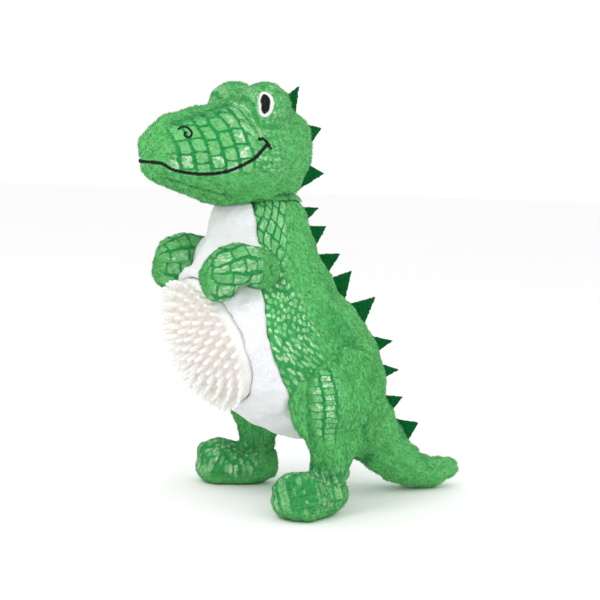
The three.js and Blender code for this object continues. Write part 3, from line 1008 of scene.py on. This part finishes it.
def tailPattern(p):
    x, y, z = p[:, 0], p[:, 1], p[:, 2]
    creases = ripples(np.stack([x / 8, y / 2.6, z / 20], 1), 5, 7)
    strokes = smooth(creases, 0.55, 1.4) * 0.85 * (1 - smooth(y, 80, 100))
    combed = np.stack([x / 1.4, y / 3, z / 1.4], 1)
    comb = np.stack([0 * x, 1 + 0 * x, -0.4 * (1 - smooth(y, 70, 90))], 1)
    nothing = 0 * x
    return {
        "grid": (y / 5, z / 5),
        "printing": nothing,
        "stripes": strokes,
        "foil": nothing,
        "ovals": nothing,
        "combed": combed,
        "comb": comb,
    }


def dressed(piece, pattern, shade):
    points = toUpright(readPoints(piece))
    plan = pattern(points)
    setAttribute(piece, "scaleGrid", np.stack([*plan["grid"], 0 * points[:, 0]], 1))
    for name in ("printing", "stripes", "foil", "ovals"):
        setAttribute(piece, name, np.clip(plan[name], 0, 1))
    setAttribute(piece, "combed", plan["combed"])
    # the shade given is painted shade for seams, grooves and creases, stored as its inverse
    setAttribute(piece, "paintedShadeTone", np.clip(1 - shade, 0, 1))
    setAttribute(piece, "strand", np.full(len(points), 0.5))
    setAttribute(piece, "comb", turnedWorld(plan["comb"]))


# Hands a stuffed skin over in place of its CAD panels and filling.
def sewn(skin, nodes, finish, body, slot):
    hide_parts(*nodes)
    finished(skin, finish, body)


def nearTo(piece, nodes, reach):
    other = surfaceOf([frame["nodes"][n] for n in nodes])
    return np.array([other.find_nearest(Vector(p), reach * mm)[0] is not None for p in readPoints(piece)])


def onFloor(piece):
    points = readPoints(piece)
    points[:, 2] = np.maximum(points[:, 2], 0.1 * mm)
    writePoints(piece, points)


lumps = {"height": 0.45, "length": 17, "fineHeight": 0.16, "fineLength": 5}


def lumpy(points, seed):
    return (
        lumps["height"] * ripples(points, lumps["length"], seed)
        + lumps["fineHeight"] * ripples(points, lumps["fineLength"], seed + 1)
    )


limbNodes = {
    "arm": ["arm_left_outer", "arm_left_inner", "arm_right_outer", "arm_right_inner"],
    "leg": ["leg_left_outer", "leg_left_inner", "leg_right_outer", "leg_right_inner"],
    "tail": ["tail_panel_left", "tail_panel_right"],
}

# ---------- torso: back skin and belly skin ----------
domeCentre = toWorld((0, -61.5, 107.5))
domeAxis = turnedWorld(np.array([0, -math.cos(math.radians(20)), -math.sin(math.radians(20))]))


def nearDome(points, radius):
    away = points - domeCentre
    along = away @ domeAxis
    return (np.linalg.norm(away - along[:, None] * domeAxis, axis=1) < radius * mm) & (along > -32 * mm)


def bellyCutter(overlap):
    line = curveThrough(bellySeam, 8) + [overlap, 0]
    outline = [(-200, 205), (-200, 30)] + [tuple(p) for p in line]
    count = len(outline)
    points = [(side, y, z) for side in (-100, 100) for y, z in outline]
    faces = [[i, (i + 1) % count, count + (i + 1) % count, count + i] for i in range(count)]
    ends = [list(range(count))[::-1], list(range(count, 2 * count))]
    return closedPiece("belly cutter", toWorld(points), faces + ends)


def torsoPart(name, whole, cutter, operation):
    piece = duplicated(whole, name)
    shaped(piece, "BOOLEAN", object=cutter, operation=operation, solver="EXACT")
    shaped(piece, "REMESH", mode="VOXEL", voxel_size=stuffing["torsoVoxel"])
    shaped(piece, "SMOOTH", factor=0.5, iterations=3)
    others = limbNodes["arm"] + limbNodes["leg"] + limbNodes["tail"]
    points = toUpright(readPoints(piece))
    behind = behindSeam(points)
    pinned = (
        nearTo(piece, others, stuffing["pinReach"])
        | nearDome(readPoints(piece), 45)
        | (np.abs(behind) < 2)
        | (points[:, 2] > 180)
    )
    inflated(piece, pinned)
    divided(piece, 1)
    return piece


# radius and depth behind the rim of the cloth that is drawn up to the dome
collarOutline = [(39.5, 2.2), (41.6, 1.0), (46.0, 4), (48.5, 11), (51, 22), (54, 34), (39.5, 34)]


def domeCollar():
    covers = surfaceOf([frame["nodes"][n] for n in torsoPanels])
    right = np.array([1.0, 0, 0])
    up = np.cross(domeAxis, right)
    turns = np.linspace(0, 2 * math.pi, 72, endpoint=False)
    points, faces, count = [], [], len(collarOutline)
    for i, turn in enumerate(turns):
        out = right * math.cos(turn) + up * math.sin(turn)
        for k, (radius, depth) in enumerate(collarOutline):
            middle = domeCentre - domeAxis * depth * mm
            if 1 < k < count - 1:
                hit = covers.ray_cast(Vector(middle + out * 90 * mm), Vector(-out), 50 * mm)[0]
                limit = np.linalg.norm(np.array(hit) - middle) / mm if hit else 0
                radius = min(radius, max(limit + 0.6, 46))
            points.append(middle + out * radius * mm)
            near, far = i * count, ((i + 1) % 72) * count
            after = (k + 1) % count
            faces.append((near + k, near + after, far + after, far + k))
    return closedPiece("collar", points, faces)


# height, middle, half width and half depth of the torso's filling at the hips
hipRings = [
    (49, 14, 27.5, 30),
    (55, 10, 37.5, 39),
    (65, 5, 45.5, 47),
    (78, -5, 50, 54),
    (94, -13, 51.5, 58),
    (111, -19, 49, 57),
]
hipPlan = {"from": 22, "front": -27, "steps": 36}


# Fills the round seat of a leg out to the body's own shape, clear of the room behind the dome.
def hipPlug(side):
    steps = hipPlan["steps"]
    turns = np.linspace(0, 2 * math.pi, steps, endpoint=False)
    points, faces = [], [list(range(steps)), list(range((len(hipRings) - 1) * steps, len(hipRings) * steps))]
    for level, (z, middle, wide, deep) in enumerate(hipRings):
        for i, turn in enumerate(turns):
            x = max(wide * math.cos(turn), hipPlan["from"])
            y = max(middle + deep * math.sin(turn), hipPlan["front"])
            points.append(toWorld((side * x, y, z)))
            if level:
                after = (i + 1) % steps
                low, high = (level - 1) * steps, level * steps
                faces.append((low + i, low + after, high + after, high + i))
    return closedPiece("hip plug", points, faces)


seatPlugs = [plug("ball", (0, 38, 48), (20, 20, 20))]
for side in (-1, 1):
    seatPlugs.append(plug("bar", (side * 25, -46, 153), (15.5, 15.5, 7)))
    seatPlugs.append(hipPlug(side))
whole = overFilling("torso volume", ["torso_filling"], torsoPanels, seatPlugs)
joinedTo(whole, [domeCollar()])
shaped(whole, "REMESH", mode="VOXEL", voxel_size=stuffing["collarVoxel"])
shaped(whole, "SMOOTH", factor=0.5, iterations=3)
backCutter, bellyCut = bellyCutter(0), bellyCutter(1.6)
backSkin = torsoPart("back_skin", whole, backCutter, "DIFFERENCE")
bellySkin = torsoPart("belly_skin", whole, bellyCut, "INTERSECT")
for used in (whole, backCutter, bellyCut):
    bpy.data.objects.remove(used)

points = toUpright(readPoints(backSkin))
onBack = points[:, 1] > -20
centre = hill(points[:, 0], 1.3) * onBack
gather = hill(np.abs(points[:, 0]) - 8, 9) * onBack * smooth(points[:, 2], 60, 75)
pleats = 0.65 * np.cos(2 * math.pi * np.abs(points[:, 0]) / 3.6 + 0.5 * np.sin(points[:, 2] / 9)) * gather
raised(backSkin, lumpy(points, 21) - 1.3 * centre + pleats)
# painted shade along the middle seam of the back
dressed(backSkin, bodyPattern, 0.6 * centre)
sewn(backSkin, torsoPanels[1:] + ["torso_filling"], "plush", "torso", "green_plush")

points = toUpright(readPoints(bellySkin))
behind = behindSeam(points)
raised(bellySkin, 0.6 * lumpy(points, 23) - 0.9 * smooth(behind, -1.4, 0.8))
# painted shade along the belly's edge where it sinks into the seam
setAttribute(bellySkin, "paintedShadeTone", 1 - 0.7 * smooth(behind, -3, 0.5))
sewn(bellySkin, ["belly_panel"], "velour", "torso", "white_velour")
print("stage: torso stuffed")

# ---------- head ----------
neck = {
    "centre": np.array([0, -29, 166]),
    "ball": 35.1,
    "pull": 4.2,  # the head's rim is drawn in to the neck
    "wad": 35,
    "voxel": 0.8 * mm,
}
jawSeam = [(7, -98, 205), (12, -90, 204.5), (16, -78, 200.5), (19, -63, 196), (21, -50, 191)]
browCreases = [
    [(13, -50, 247), (12, -62, 245), (10, -72, 245)],
    [(17, -52, 244), (16, -62, 242.5), (14, -74, 242)],
    [(9, -46, 250), (7, -58, 248), (5, -68, 247)],
]



# Moves a skin to or from the neck's middle, to the radius that the rule gives.
def fittedToNeck(skin, rule):
    fromNeck = toUpright(readPoints(skin)) - neck["centre"]
    radius = np.linalg.norm(fromNeck, axis=1)
    writePoints(skin, toWorld(neck["centre"] + fromNeck * (rule(radius) / radius)[:, None]))


neckBody = next(
    body for body, members in frame["record"]["behaviour"]["bodies"].items() if "neck_wad" in members
)
headSkin = overFilling("head_skin", ["head_filling"], headPanels)
fittedToNeck(
    headSkin, lambda radius: np.maximum(radius - neck["pull"] * (1 - smooth(radius, 41, 54)), neck["ball"])
)
inflated(headSkin, nearTo(headSkin, ["neck_wad"], 6) | nearTo(headSkin, torsoPanels, stuffing["pinReach"]))
divided(headSkin)
points = toUpright(readPoints(headSkin))
mirror = points.copy()
mirror[:, 0] = np.abs(mirror[:, 0])
jaw, jawGroove = seam(mirror, curveThrough(jawSeam, 6), depth=1.1)
height = lumpy(points, 31) + jaw
# painted shade in the jaw seam, the brow creases and along the back seam
shade = 0.75 * jawGroove
for crease in browCreases:
    push, groove = seam(mirror, curveThrough(crease, 6), depth=0.9, width=1.1)
    height += push
    shade = np.maximum(shade, 0.4 * groove)
backSeam = hill(points[:, 0], 1.2) * (points[:, 1] > -30)
crown = hill(np.linalg.norm(points - [0, -10, 250], axis=1), 15)
raised(headSkin, height - 0.9 * backSeam - 2.0 * crown - 1.9 * smooth(points[:, 1], -42, -18))
dressed(headSkin, headPattern, np.maximum(shade, 0.5 * backSeam))
sewn(headSkin, headPanels + ["head_filling"], "plush", "head", "green_plush")

neckSkin = copyOfNodes("neck_skin", ["neck_wad"])
shaped(neckSkin, "REMESH", mode="VOXEL", voxel_size=neck["voxel"])
fittedToNeck(neckSkin, lambda radius: np.minimum(radius, neck["wad"] + 0.4 * (radius - neck["wad"])))
# painted shade: the neck skin is darkened all over, as a dark ring in the crease under the head
dressed(neckSkin, tailPattern, np.full(len(neckSkin.data.vertices), 0.55))
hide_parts("neck_wad")
finished(neckSkin, "plush", neckBody)
print("stage: head stuffed")

# ---------- arms, legs and tail ----------
def limb(name, filling, covers, pattern, seed, extra, reshaped=None):
    skin = overFilling(name, filling, covers)
    if reshaped is not None:
        writePoints(skin, toWorld(reshaped(toUpright(readPoints(skin)))))
    points = readPoints(skin)
    pinned = nearTo(skin, torsoPanels + ["torso_filling"], stuffing["pinReach"]) | (points[:, 2] < 1.6 * mm)
    inflated(skin, pinned)
    divided(skin)
    points = toUpright(readPoints(skin))
    push, shade = extra(points)
    raised(skin, lumpy(points, seed) + push)
    onFloor(skin)
    dressed(skin, pattern, shade)
    return skin


# Pushes the dart, ankle and toe seam in, and gives them painted shade.
def legExtra(points):
    dart, groove = seam(
        points,
        curveThrough([(56, -31, 80), (58, -30, 66), (55, -24, 52), (54, -18, 44)], 6),
        depth=0.9,
        width=0.9,
    )
    ankle = hill(points[:, 2] - 32 - 0.25 * points[:, 1], 2.2)
    toeSeam = hill(points[:, 0] - 45.5, 1.0) * (points[:, 2] < 40)
    return dart - 1.0 * ankle - 0.7 * toeSeam, np.clip(0.7 * groove + 0.35 * ankle + 0.3 * toeSeam, 0, 1)


# The arm's seam edge is pushed in and given painted shade.
def armExtra(points):
    edge = hill(points[:, 0] - 35, 1.0) * (points[:, 1] < -58)
    return -0.7 * edge, 0.4 * edge


# The tail's middle seam is pushed in and given painted shade.
def tailExtra(points):
    middle = hill(points[:, 0], 1.1)
    return -0.9 * middle, 0.5 * middle


# The thigh's back edge dies away into the body; its front edge keeps its sewn arc.
def flatterThigh(points):
    x, y, z = points.T
    radius = np.hypot(y, z - 74)
    bell = 47 + 16.5 * (0.5 + 0.5 * np.cos(math.pi * np.clip(radius / 37, 0, 1)))
    sewn = hill(np.degrees(np.arctan2(z - 74, -y)) - 42, 26)
    share = smooth(z, 46, 60) * (1 - 0.4 * sewn)
    points[:, 0] = np.where(x > 46, x + (np.minimum(x, bell) - x) * share, x)
    return points


# The shoulder sinks into the body, and the paw hangs from the wrist.
def hangingPaw(points):
    x, y, z = points.T
    root = smooth(y, -60, -40)
    points[:, 0] = np.where(x > 36, 36 + (x - 36) * (1 - 0.5 * root), x)
    paw = smooth(-y, 60, 70) * smooth(158 - z, -2, 14)
    wrist = hill(y + 58, 7) * smooth(152 - z, -4, 6)
    crown = hill(y + 60, 10) * smooth(z - 158, -4, 6)
    points[:, 2] = z - 3.6 * paw + 2.5 * wrist + 1.8 * crown
    return points


def bothSides(kind, pattern, seed, extra, reshaped):
    names = lambda side: [f"{kind}_{side}_outer", f"{kind}_{side}_inner"]
    left = limb(f"{kind}_left_skin", [f"{kind}_left_filling"], names("left"), pattern, seed, extra, reshaped)
    right = mirroredCopy(left, f"{kind}_right_skin")
    for side, skin in (("left", left), ("right", right)):
        sewn(skin, names(side) + [f"{kind}_{side}_filling"], "plush", f"{kind}_{side}", "green_plush")
    return left, right


armSkins = bothSides("arm", armPattern, 41, armExtra, hangingPaw)
legSkins = bothSides("leg", legPattern, 51, legExtra, flatterThigh)
tailSkin = limb("tail_skin", ["tail_filling"], limbNodes["tail"], tailPattern, 61, tailExtra)
sewn(tailSkin, limbNodes["tail"] + ["tail_filling"], "plush", "tail", "green_plush")
print("stage: limbs stuffed")


# ---------- rubber dome ----------
dome = {
    "rim": 40,
    "rise": 17,
    "wall": 2.2,
    "skirt": 20,
    "taper": 4,
    "finger": 8.2,  # length over the dome
    "base": 1.75,
    "tip": 1.2,
    "pitch": 6.2,
    "rimBand": 3.6,  # smooth band left along the rim
    "voxel": 0.75 * mm,
}
ballRadius = (dome["rim"] ** 2 + dome["rise"] ** 2) / (2 * dome["rise"])
ballDrop = ballRadius - dome["rise"]
domeTurn = Vector(domeAxis).to_track_quat("Z", "X").to_matrix().to_4x4()
domePlace = Matrix.Translation(domeCentre) @ domeTurn @ Matrix.Diagonal((mm, mm, mm, 1))


def domeOutline():
    arc = lambda radius, sweep, steps: [
        (radius * math.sin(a), 0, radius * math.cos(a) - ballDrop) for a in np.linspace(0, sweep, steps)
    ]
    sweep = math.asin(dome["rim"] / ballRadius)
    outer = arc(ballRadius, sweep - 0.03, 24) + [(dome["rim"], 0, -1.2)]
    edge = [
        (dome["rim"] - dome["taper"], 0, -dome["skirt"]),
        (dome["rim"] - dome["taper"] - dome["wall"], 0, -dome["skirt"]),
    ]
    inner = [(dome["rim"] - dome["wall"], 0, -1.6)] + arc(ballRadius - dome["wall"], sweep - 0.06, 20)[::-1]
    return outer + edge + inner


def rubberDome():
    outline = domeOutline()
    mesh = bpy.data.meshes.new("dome")
    mesh.from_pydata(outline, [(i, i + 1) for i in range(len(outline) - 1)], [])
    piece = placed("rubber_dome", mesh)
    shaped(
        piece,
        "SCREW",
        axis="Z",
        angle=2 * math.pi,
        steps=96,
        render_steps=96,
        use_merge_vertices=True,
        merge_threshold=0.001,
    )
    onWholeMesh(
        (bpy.ops.mesh.remove_doubles, {"threshold": 0.001}),
        (bpy.ops.mesh.normals_make_consistent, {"inside": False}),
    )
    bpy.ops.object.select_all(action="DESELECT")
    depth = dome["finger"] + 1
    bpy.ops.mesh.primitive_cone_add(
        vertices=12, radius1=dome["base"], radius2=dome["tip"], depth=depth, location=(0, 0, 0)
    )
    finger = bpy.context.object
    bpy.ops.object.mode_set(mode="EDIT")
    bpy.ops.mesh.select_all(action="DESELECT")
    bpy.ops.object.mode_set(mode="OBJECT")
    for edge in finger.data.edges:
        edge.select = all(finger.data.vertices[v].co.z > 0 for v in edge.vertices)
    bpy.ops.object.mode_set(mode="EDIT")
    bpy.ops.mesh.bevel(offset=dome["tip"] * 0.75, segments=3)
    bpy.ops.object.mode_set(mode="OBJECT")
    fingers = []
    last = math.asin(dome["rim"] / ballRadius) - dome["rimBand"] / ballRadius
    rings = round(ballRadius * last / dome["pitch"])
    for ring in range(rings + 1):
        polar = last * ring / rings
        count = max(1, round(2 * math.pi * ballRadius * math.sin(polar) / dome["pitch"]))
        for i in range(count):
            around = 2 * math.pi * (i + 0.5 * (ring % 2)) / count
            copy = finger.copy()
            copy.data = finger.data.copy()
            copy.data.transform(Matrix.Translation((0, 0, ballRadius + depth / 2 - 1)))
            copy.data.transform(Matrix.Rotation(polar, 4, "Y"))
            copy.data.transform(Matrix.Rotation(around, 4, "Z"))
            copy.data.transform(Matrix.Translation((0, 0, -ballDrop)))
            bpy.context.scene.collection.objects.link(copy)
            fingers.append(copy)
    bpy.data.objects.remove(finger)
    joinedTo(piece, fingers)
    piece.data.transform(domePlace)
    shaped(piece, "REMESH", mode="VOXEL", voxel_size=dome["voxel"])
    shaped(piece, "SMOOTH", factor=0.5, iterations=2)
    bpy.ops.object.shade_smooth()
    inDome = (readPoints(piece) - domeCentre) / mm
    inDome = inDome @ np.array(domeTurn.to_3x3())
    height = np.linalg.norm(inDome + [0, 0, ballDrop], axis=1) - ballRadius
    amongFingers = (
        1 - smooth(np.hypot(inDome[:, 0], inDome[:, 1]), dome["rim"] - dome["rimBand"], dome["rim"] - 2)
    )
    # painted shade at the foot of the fingers, fading up them and at the smooth rim band
    setAttribute(piece, "deep", (1 - smooth(height, 0.3, 3.2)) * amongFingers)
    return piece


rubber = rubberDome()
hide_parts("dome_shell")
finished(rubber, "rubber", "dome")
print("stage: dome moulded,", len(rubber.data.polygons), "faces")

# ---------- felt spikes ----------
felt = {
    "voxel": 0.45 * mm,
    "curl": 0.9,
    "rough": 0.14,
    "topOut": (0, 0.7, 0.5),  # the top spike stands out furthest
}


def feltSpike(node, body, seed):
    piece = copyOfNodes("felt_" + node[5:], [node])
    shaped(piece, "REMESH", mode="VOXEL", voxel_size=felt["voxel"])
    points = toUpright(readPoints(piece))
    low, high = points.min(0), points.max(0)
    share = np.linalg.norm(points - (low + high) / 2, axis=1) / np.linalg.norm(high - low)
    points[:, 0] += felt["curl"] * math.sin(seed * 2.3) * (points[:, 1] - low[1]) / (high[1] - low[1]) * share
    if node == "back_spike_01":
        points += felt["topOut"]
    writePoints(piece, toWorld(points))
    raised(
        piece, felt["rough"] * ripples(points, 1.6, seed) + felt["rough"] * ripples(points, 0.9, seed + 50)
    )
    pick(piece)
    bpy.ops.object.shade_smooth()
    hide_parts(node)
    finished(piece, "felt", body)


for body, members in sorted(frame["record"]["behaviour"]["bodies"].items()):
    for node in members:
        if node.startswith("back_spike"):
            feltSpike(node, body, int(node[-2:]))
print("stage: felt spikes cut")


# ---------- embroidery ----------
def tubes(name, paths, radius, sides=5):
    points, faces, start = [], [], 0
    for path, normals in paths:
        steps = len(path)
        tangents = np.gradient(path, axis=0)
        tangents /= np.linalg.norm(tangents, axis=1, keepdims=True)
        across = np.cross(tangents, normals)
        across /= np.linalg.norm(across, axis=1, keepdims=True)
        up = np.cross(across, tangents)
        taper = np.ones(steps)
        taper[[0, -1]] = 0.5
        for i in range(steps):
            for k in range(sides):
                turn = 2 * math.pi * k / sides
                points.append(
                    path[i] + radius * taper[i] * (across[i] * math.cos(turn) + up[i] * math.sin(turn))
                )
        points += [path[0], path[-1]]
        for i in range(steps - 1):
            for k in range(sides):
                a, b = start + i * sides + k, start + i * sides + (k + 1) % sides
                faces += [(a, b, b + sides), (a, b + sides, a + sides)]
        for k in range(sides):
            first, second = start + k, start + (k + 1) % sides
            faces.append((start + steps * sides, second, first))
            far = (steps - 1) * sides
            faces.append((start + steps * sides + 1, first + far, second + far))
        start = len(points)
    piece = meshPiece(name, np.array(points), faces)
    normalsOut(piece)
    bpy.ops.object.shade_smooth()
    return piece


headSurface = surfaceOf([headSkin])


def landed(start, direction):
    hit, normal, *_ = headSurface.ray_cast(
        Vector(toWorld(start)), Vector(turnedWorld(np.array(direction, float)))
    )
    return (np.array(hit), np.array(normal)) if hit else None


def sideLanding(y, z, side=1):
    return landed((side * 80, y, z), (-side, 0, 0))


# A satin stitch of the given width along landed places.
def satin(places, width, lift, pitch, seed, ragged=0.16, bow=0.35):
    spots = np.array([p for p, n in places])
    normals = np.array([n for p, n in places])
    walked = np.concatenate([[0], np.cumsum(np.linalg.norm(np.diff(spots, axis=0), axis=1))])
    dice = np.random.default_rng(seed)
    paths = []

    def between(values, at):
        return np.array([np.interp(at, walked, values[:, k]) for k in range(3)])

    for at in np.arange(0, walked[-1], pitch * mm):
        spot = between(spots, at)
        normal = between(normals, at)
        ahead = between(spots, at + 0.5 * mm) - between(spots, at - 0.5 * mm)
        normal /= np.linalg.norm(normal)
        across = np.cross(normal, ahead)
        across /= np.linalg.norm(across)
        ahead /= np.linalg.norm(ahead)
        reach = width(at / walked[-1]) / 2 * mm
        steps = np.linspace(-1, 1, 5)
        left, right = (1 + ragged * dice.normal(), 1 + ragged * dice.normal())
        slant = 0.25 * mm * dice.normal()
        path = []
        for t in steps:
            sideways = across * reach * t * (left if t < 0 else right)
            path.append(spot + sideways + normal * (lift + bow * (1 - t * t)) * mm + ahead * slant * t)
        paths.append((np.array(path), np.tile(normal, (5, 1))))
    return paths


mouth = {
    "line": curveThrough(
        [(-125, 215.5), (-101, 215.5), (-93, 211.5), (-80, 209), (-66, 210), (-54, 215.5), (-41, 225.5)], 10
    ),
    "tick": [(-47, 228.5), (-44, 228.5), (-41.5, 226.5), (-39.5, 222.5)],
    "width": 2.1,
    "pitch": 0.36,
    "thread": 0.24 * mm,
}


def mouthPlaces():
    places = []
    for turn in np.radians(np.linspace(-113, 113, 140)):
        z = 214
        for _ in range(4):
            found = landed(
                (80 * math.sin(turn), -55 - 80 * math.cos(turn), z), (-math.sin(turn), math.cos(turn), 0)
            )
            z = np.interp(toUpright(found[0])[1], mouth["line"][:, 0], mouth["line"][:, 1])
        places.append(found)
    return places


def densely(corners, steps=8):
    return [sideLanding(y, z) for y, z in curveThrough(corners, steps)]


def flipped(paths):
    return [(path * [-1, 1, 1], normals * [-1, 1, 1]) for path, normals in paths]


mouthPaths = satin(mouthPlaces(), lambda t: mouth["width"], 0.15, mouth["pitch"], 3, 0.1)
tick = satin(densely(mouth["tick"]), lambda t: 1.9, 0.25, mouth["pitch"], 4)
smile = tubes("mouth_stitches", mouthPaths + tick + flipped(tick), mouth["thread"])
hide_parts("mouth_line")
finished(smile, "black", "head")

eye = {"y": -41.5, "z": 248.0, "wide": 3.5, "tall": 6.9, "turn": -0.1}
pupil = {"y": -41.9, "z": 248.3, "wide": 1.7, "tall": 4.7, "turn": -0.1}
nostril = [
    (-89.5, 234.0),
    (-86.8, 235.5),
    (-84, 234.8),
    (-83.2, 232.2),
    (-85, 229.8),
    (-87.3, 230.6),
    (-87, 232.4),
    (-85.6, 232.3),
]


# A filled oval: threads side by side over its short way, each following the surface.
def filledOval(oval, lift, seed, pitch=0.36):
    dice = np.random.default_rng(seed)
    paths = []
    for up in np.arange(-1, 1.0001, pitch / oval["tall"]):
        half = oval["wide"] * math.sqrt(max(0, 1 - abs(up) ** 2.6)) * (1 + 0.05 * dice.normal()) + 0.25
        path, normals = [], []
        for t in np.linspace(-1, 1, 7):
            along, over = up * oval["tall"], t * half
            y = oval["y"] + over * math.cos(oval["turn"]) - along * math.sin(oval["turn"])
            z = oval["z"] + over * math.sin(oval["turn"]) + along * math.cos(oval["turn"])
            spot, normal = sideLanding(y, z)
            path.append(spot + normal * (lift + 0.3 * (1 - t * t)) * mm)
            normals.append(normal)
        paths.append((np.array(path), np.array(normals)))
    return paths


embroidery = {
    "eye_white": (filledOval(eye, 0.55, 5), "white", "white_thread"),
    "eye_pupil": (filledOval(pupil, 1.15, 6), "black", "black_thread"),
    "nostril": (satin(densely(nostril), lambda t: 1.25, 0.3, 0.34, 7), "black", "black_thread"),
}
for name, (paths, finish, slotName) in embroidery.items():
    for side, kept in (("left", paths), ("right", flipped(paths))):
        stitches = tubes(f"{name}_stitches_{side}", kept, 0.25 * mm)
        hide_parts(f"{name}_{side}")
        finished(stitches, finish, "head")
print("stage: face embroidered")

# ---------- pile: short leaning tufts all over the plush ----------
pile = {
    "length": 2.3,
    "width": 0.42,
    "lean": 0.55,  # how far a tuft stands up from the surface
    "sink": 0.25,
    "clear": 1.3,  # room round the stitches
    "scatter": 0.22,  # how unevenly the tufts are combed
}


def pileOn(name, skin, count, seed, avoid=(), length=1.0, bare=None):
    mesh = skin.data
    mesh.calc_loop_triangles()
    corners = np.empty(len(mesh.loop_triangles) * 3, np.int32)
    mesh.loop_triangles.foreach_get("vertices", corners)
    corners = corners.reshape(-1, 3)
    points, normals = readPoints(skin), readNormals(skin)
    a, b, c = (points[corners[:, k]] for k in range(3))
    area = np.linalg.norm(np.cross(b - a, c - a), axis=1)
    if bare is not None:
        area[bare((a + b + c) / 3)] = 0
    dice = np.random.default_rng(seed)
    chosenFaces = dice.choice(len(area), count, p=area / area.sum())
    share = dice.dirichlet((1, 1, 1), count)

    def weighed(values):
        return (values[corners[chosenFaces]] * (share[:, :, None] if values.ndim == 2 else share)).sum(1)

    roots, out = weighed(points), weighed(normals)
    out /= np.linalg.norm(out, axis=1, keepdims=True)
    comb = weighed(getAttribute(skin, "comb"))
    comb += pile["scatter"] * dice.normal(size=comb.shape)
    comb -= (comb * out).sum(1, keepdims=True) * out
    comb /= np.linalg.norm(comb, axis=1, keepdims=True)
    data = {
        key: weighed(getAttribute(skin, key))
        for key in ("scaleGrid", "combed", "printing", "stripes", "foil", "ovals", "paintedShadeTone")
    }
    flat = data["printing"] * 0.5
    stand = pile["lean"] * (1 - 0.6 * flat) * dice.uniform(0.5, 1.4, count)
    direction = comb + out * stand[:, None]
    direction /= np.linalg.norm(direction, axis=1, keepdims=True)
    reach = pile["length"] * length * mm * dice.uniform(0.6, 1.25, count) * (1 - 0.4 * flat)
    kept = np.ones(count, bool)
    if len(avoid):
        outer = roots + 0.6 * (direction * reach[:, None])
        for start in range(0, len(avoid), 200):
            some = avoid[start : start + 200]
            close = np.abs(roots[:, None, 2] - some[None, :, 2]).min(1) < 2 * mm
            index = np.nonzero(close & kept)[0]
            gap = np.linalg.norm(outer[index][:, None] - some[None], axis=2).min(1)
            kept[index[gap < pile["clear"] * mm]] = False
    kept &= roots[:, 2] > 0.5 * mm
    roots, out, direction, reach, comb = roots[kept], out[kept], direction[kept], reach[kept], comb[kept]
    side = np.cross(direction, out)
    side /= np.linalg.norm(side, axis=1, keepdims=True)
    over = np.cross(side, direction)
    foot = roots - out * pile["sink"] * mm
    wide = pile["width"] * mm * dice.uniform(0.7, 1.3, len(roots))[:, None] / 2
    verts = np.stack(
        [foot + side * wide, foot - side * wide, foot + over * wide * 1.4, foot + direction * reach[:, None]],
        1,
    )
    verts[:, 3, 2] = np.maximum(verts[:, 3, 2], 0.1 * mm)
    base = np.arange(len(roots), dtype=np.int32)[:, None] * 4
    pattern = np.array([0, 1, 2, 1, 0, 3, 2, 1, 3, 0, 2, 3], np.int32)
    piece = meshPiece(name, verts.reshape(-1, 3), (base + pattern).reshape(-1, 3))
    for key, values in data.items():
        setAttribute(piece, key, np.repeat(values[kept], 4, axis=0))
    strand = dice.uniform(0.15, 0.85, len(roots))
    # painted shade at each tuft's root and painted light at its tip
    paintedRootShadeTipLight = np.tile([-0.15, -0.15, -0.15, 0.15], len(roots))
    setAttribute(piece, "strand", np.repeat(strand, 4) + paintedRootShadeTipLight)
    pick(piece)
    bpy.ops.object.shade_smooth()
    return piece


stitched = np.concatenate([path[::2] for paths in (mouthPaths, tick, flipped(tick)) for path, _ in paths])
for name, (paths, *_) in embroidery.items():
    ends = np.concatenate([path[::2] for path, _ in paths])
    stitched = np.concatenate([stitched, ends, ends * [-1, 1, 1]])
coats = [
    ("pile_head", headSkin, "head", 26000, stitched, 1.0, None),
    ("pile_back", backSkin, "torso", 44000, (), 0.9, lambda places: nearDome(places, 47)),
    ("pile_tail", tailSkin, "tail", 11000, (), 1.0, None),
]
for name, skin, body, count, avoid, length, bare in coats:
    coat = pileOn(name, skin, count, len(name) + count, avoid, length, bare)
    finished(coat, "plush", body)
for kind, skins, count in (("arm", armSkins, 6500), ("leg", legSkins, 21000)):
    left = pileOn(f"pile_{kind}_left", skins[0], count, count, (), 1.0)
    right = mirroredCopy(left, f"pile_{kind}_right")
    finished(left, "plush", f"{kind}_left")
    finished(right, "plush", f"{kind}_right")
print("stage: pile grown")

for node in ("squeaker_bulb", "squeaker_reed"):
    frame["nodes"][node].data.materials.clear()
    frame["nodes"][node].data.materials.append(finishes["plastic"])
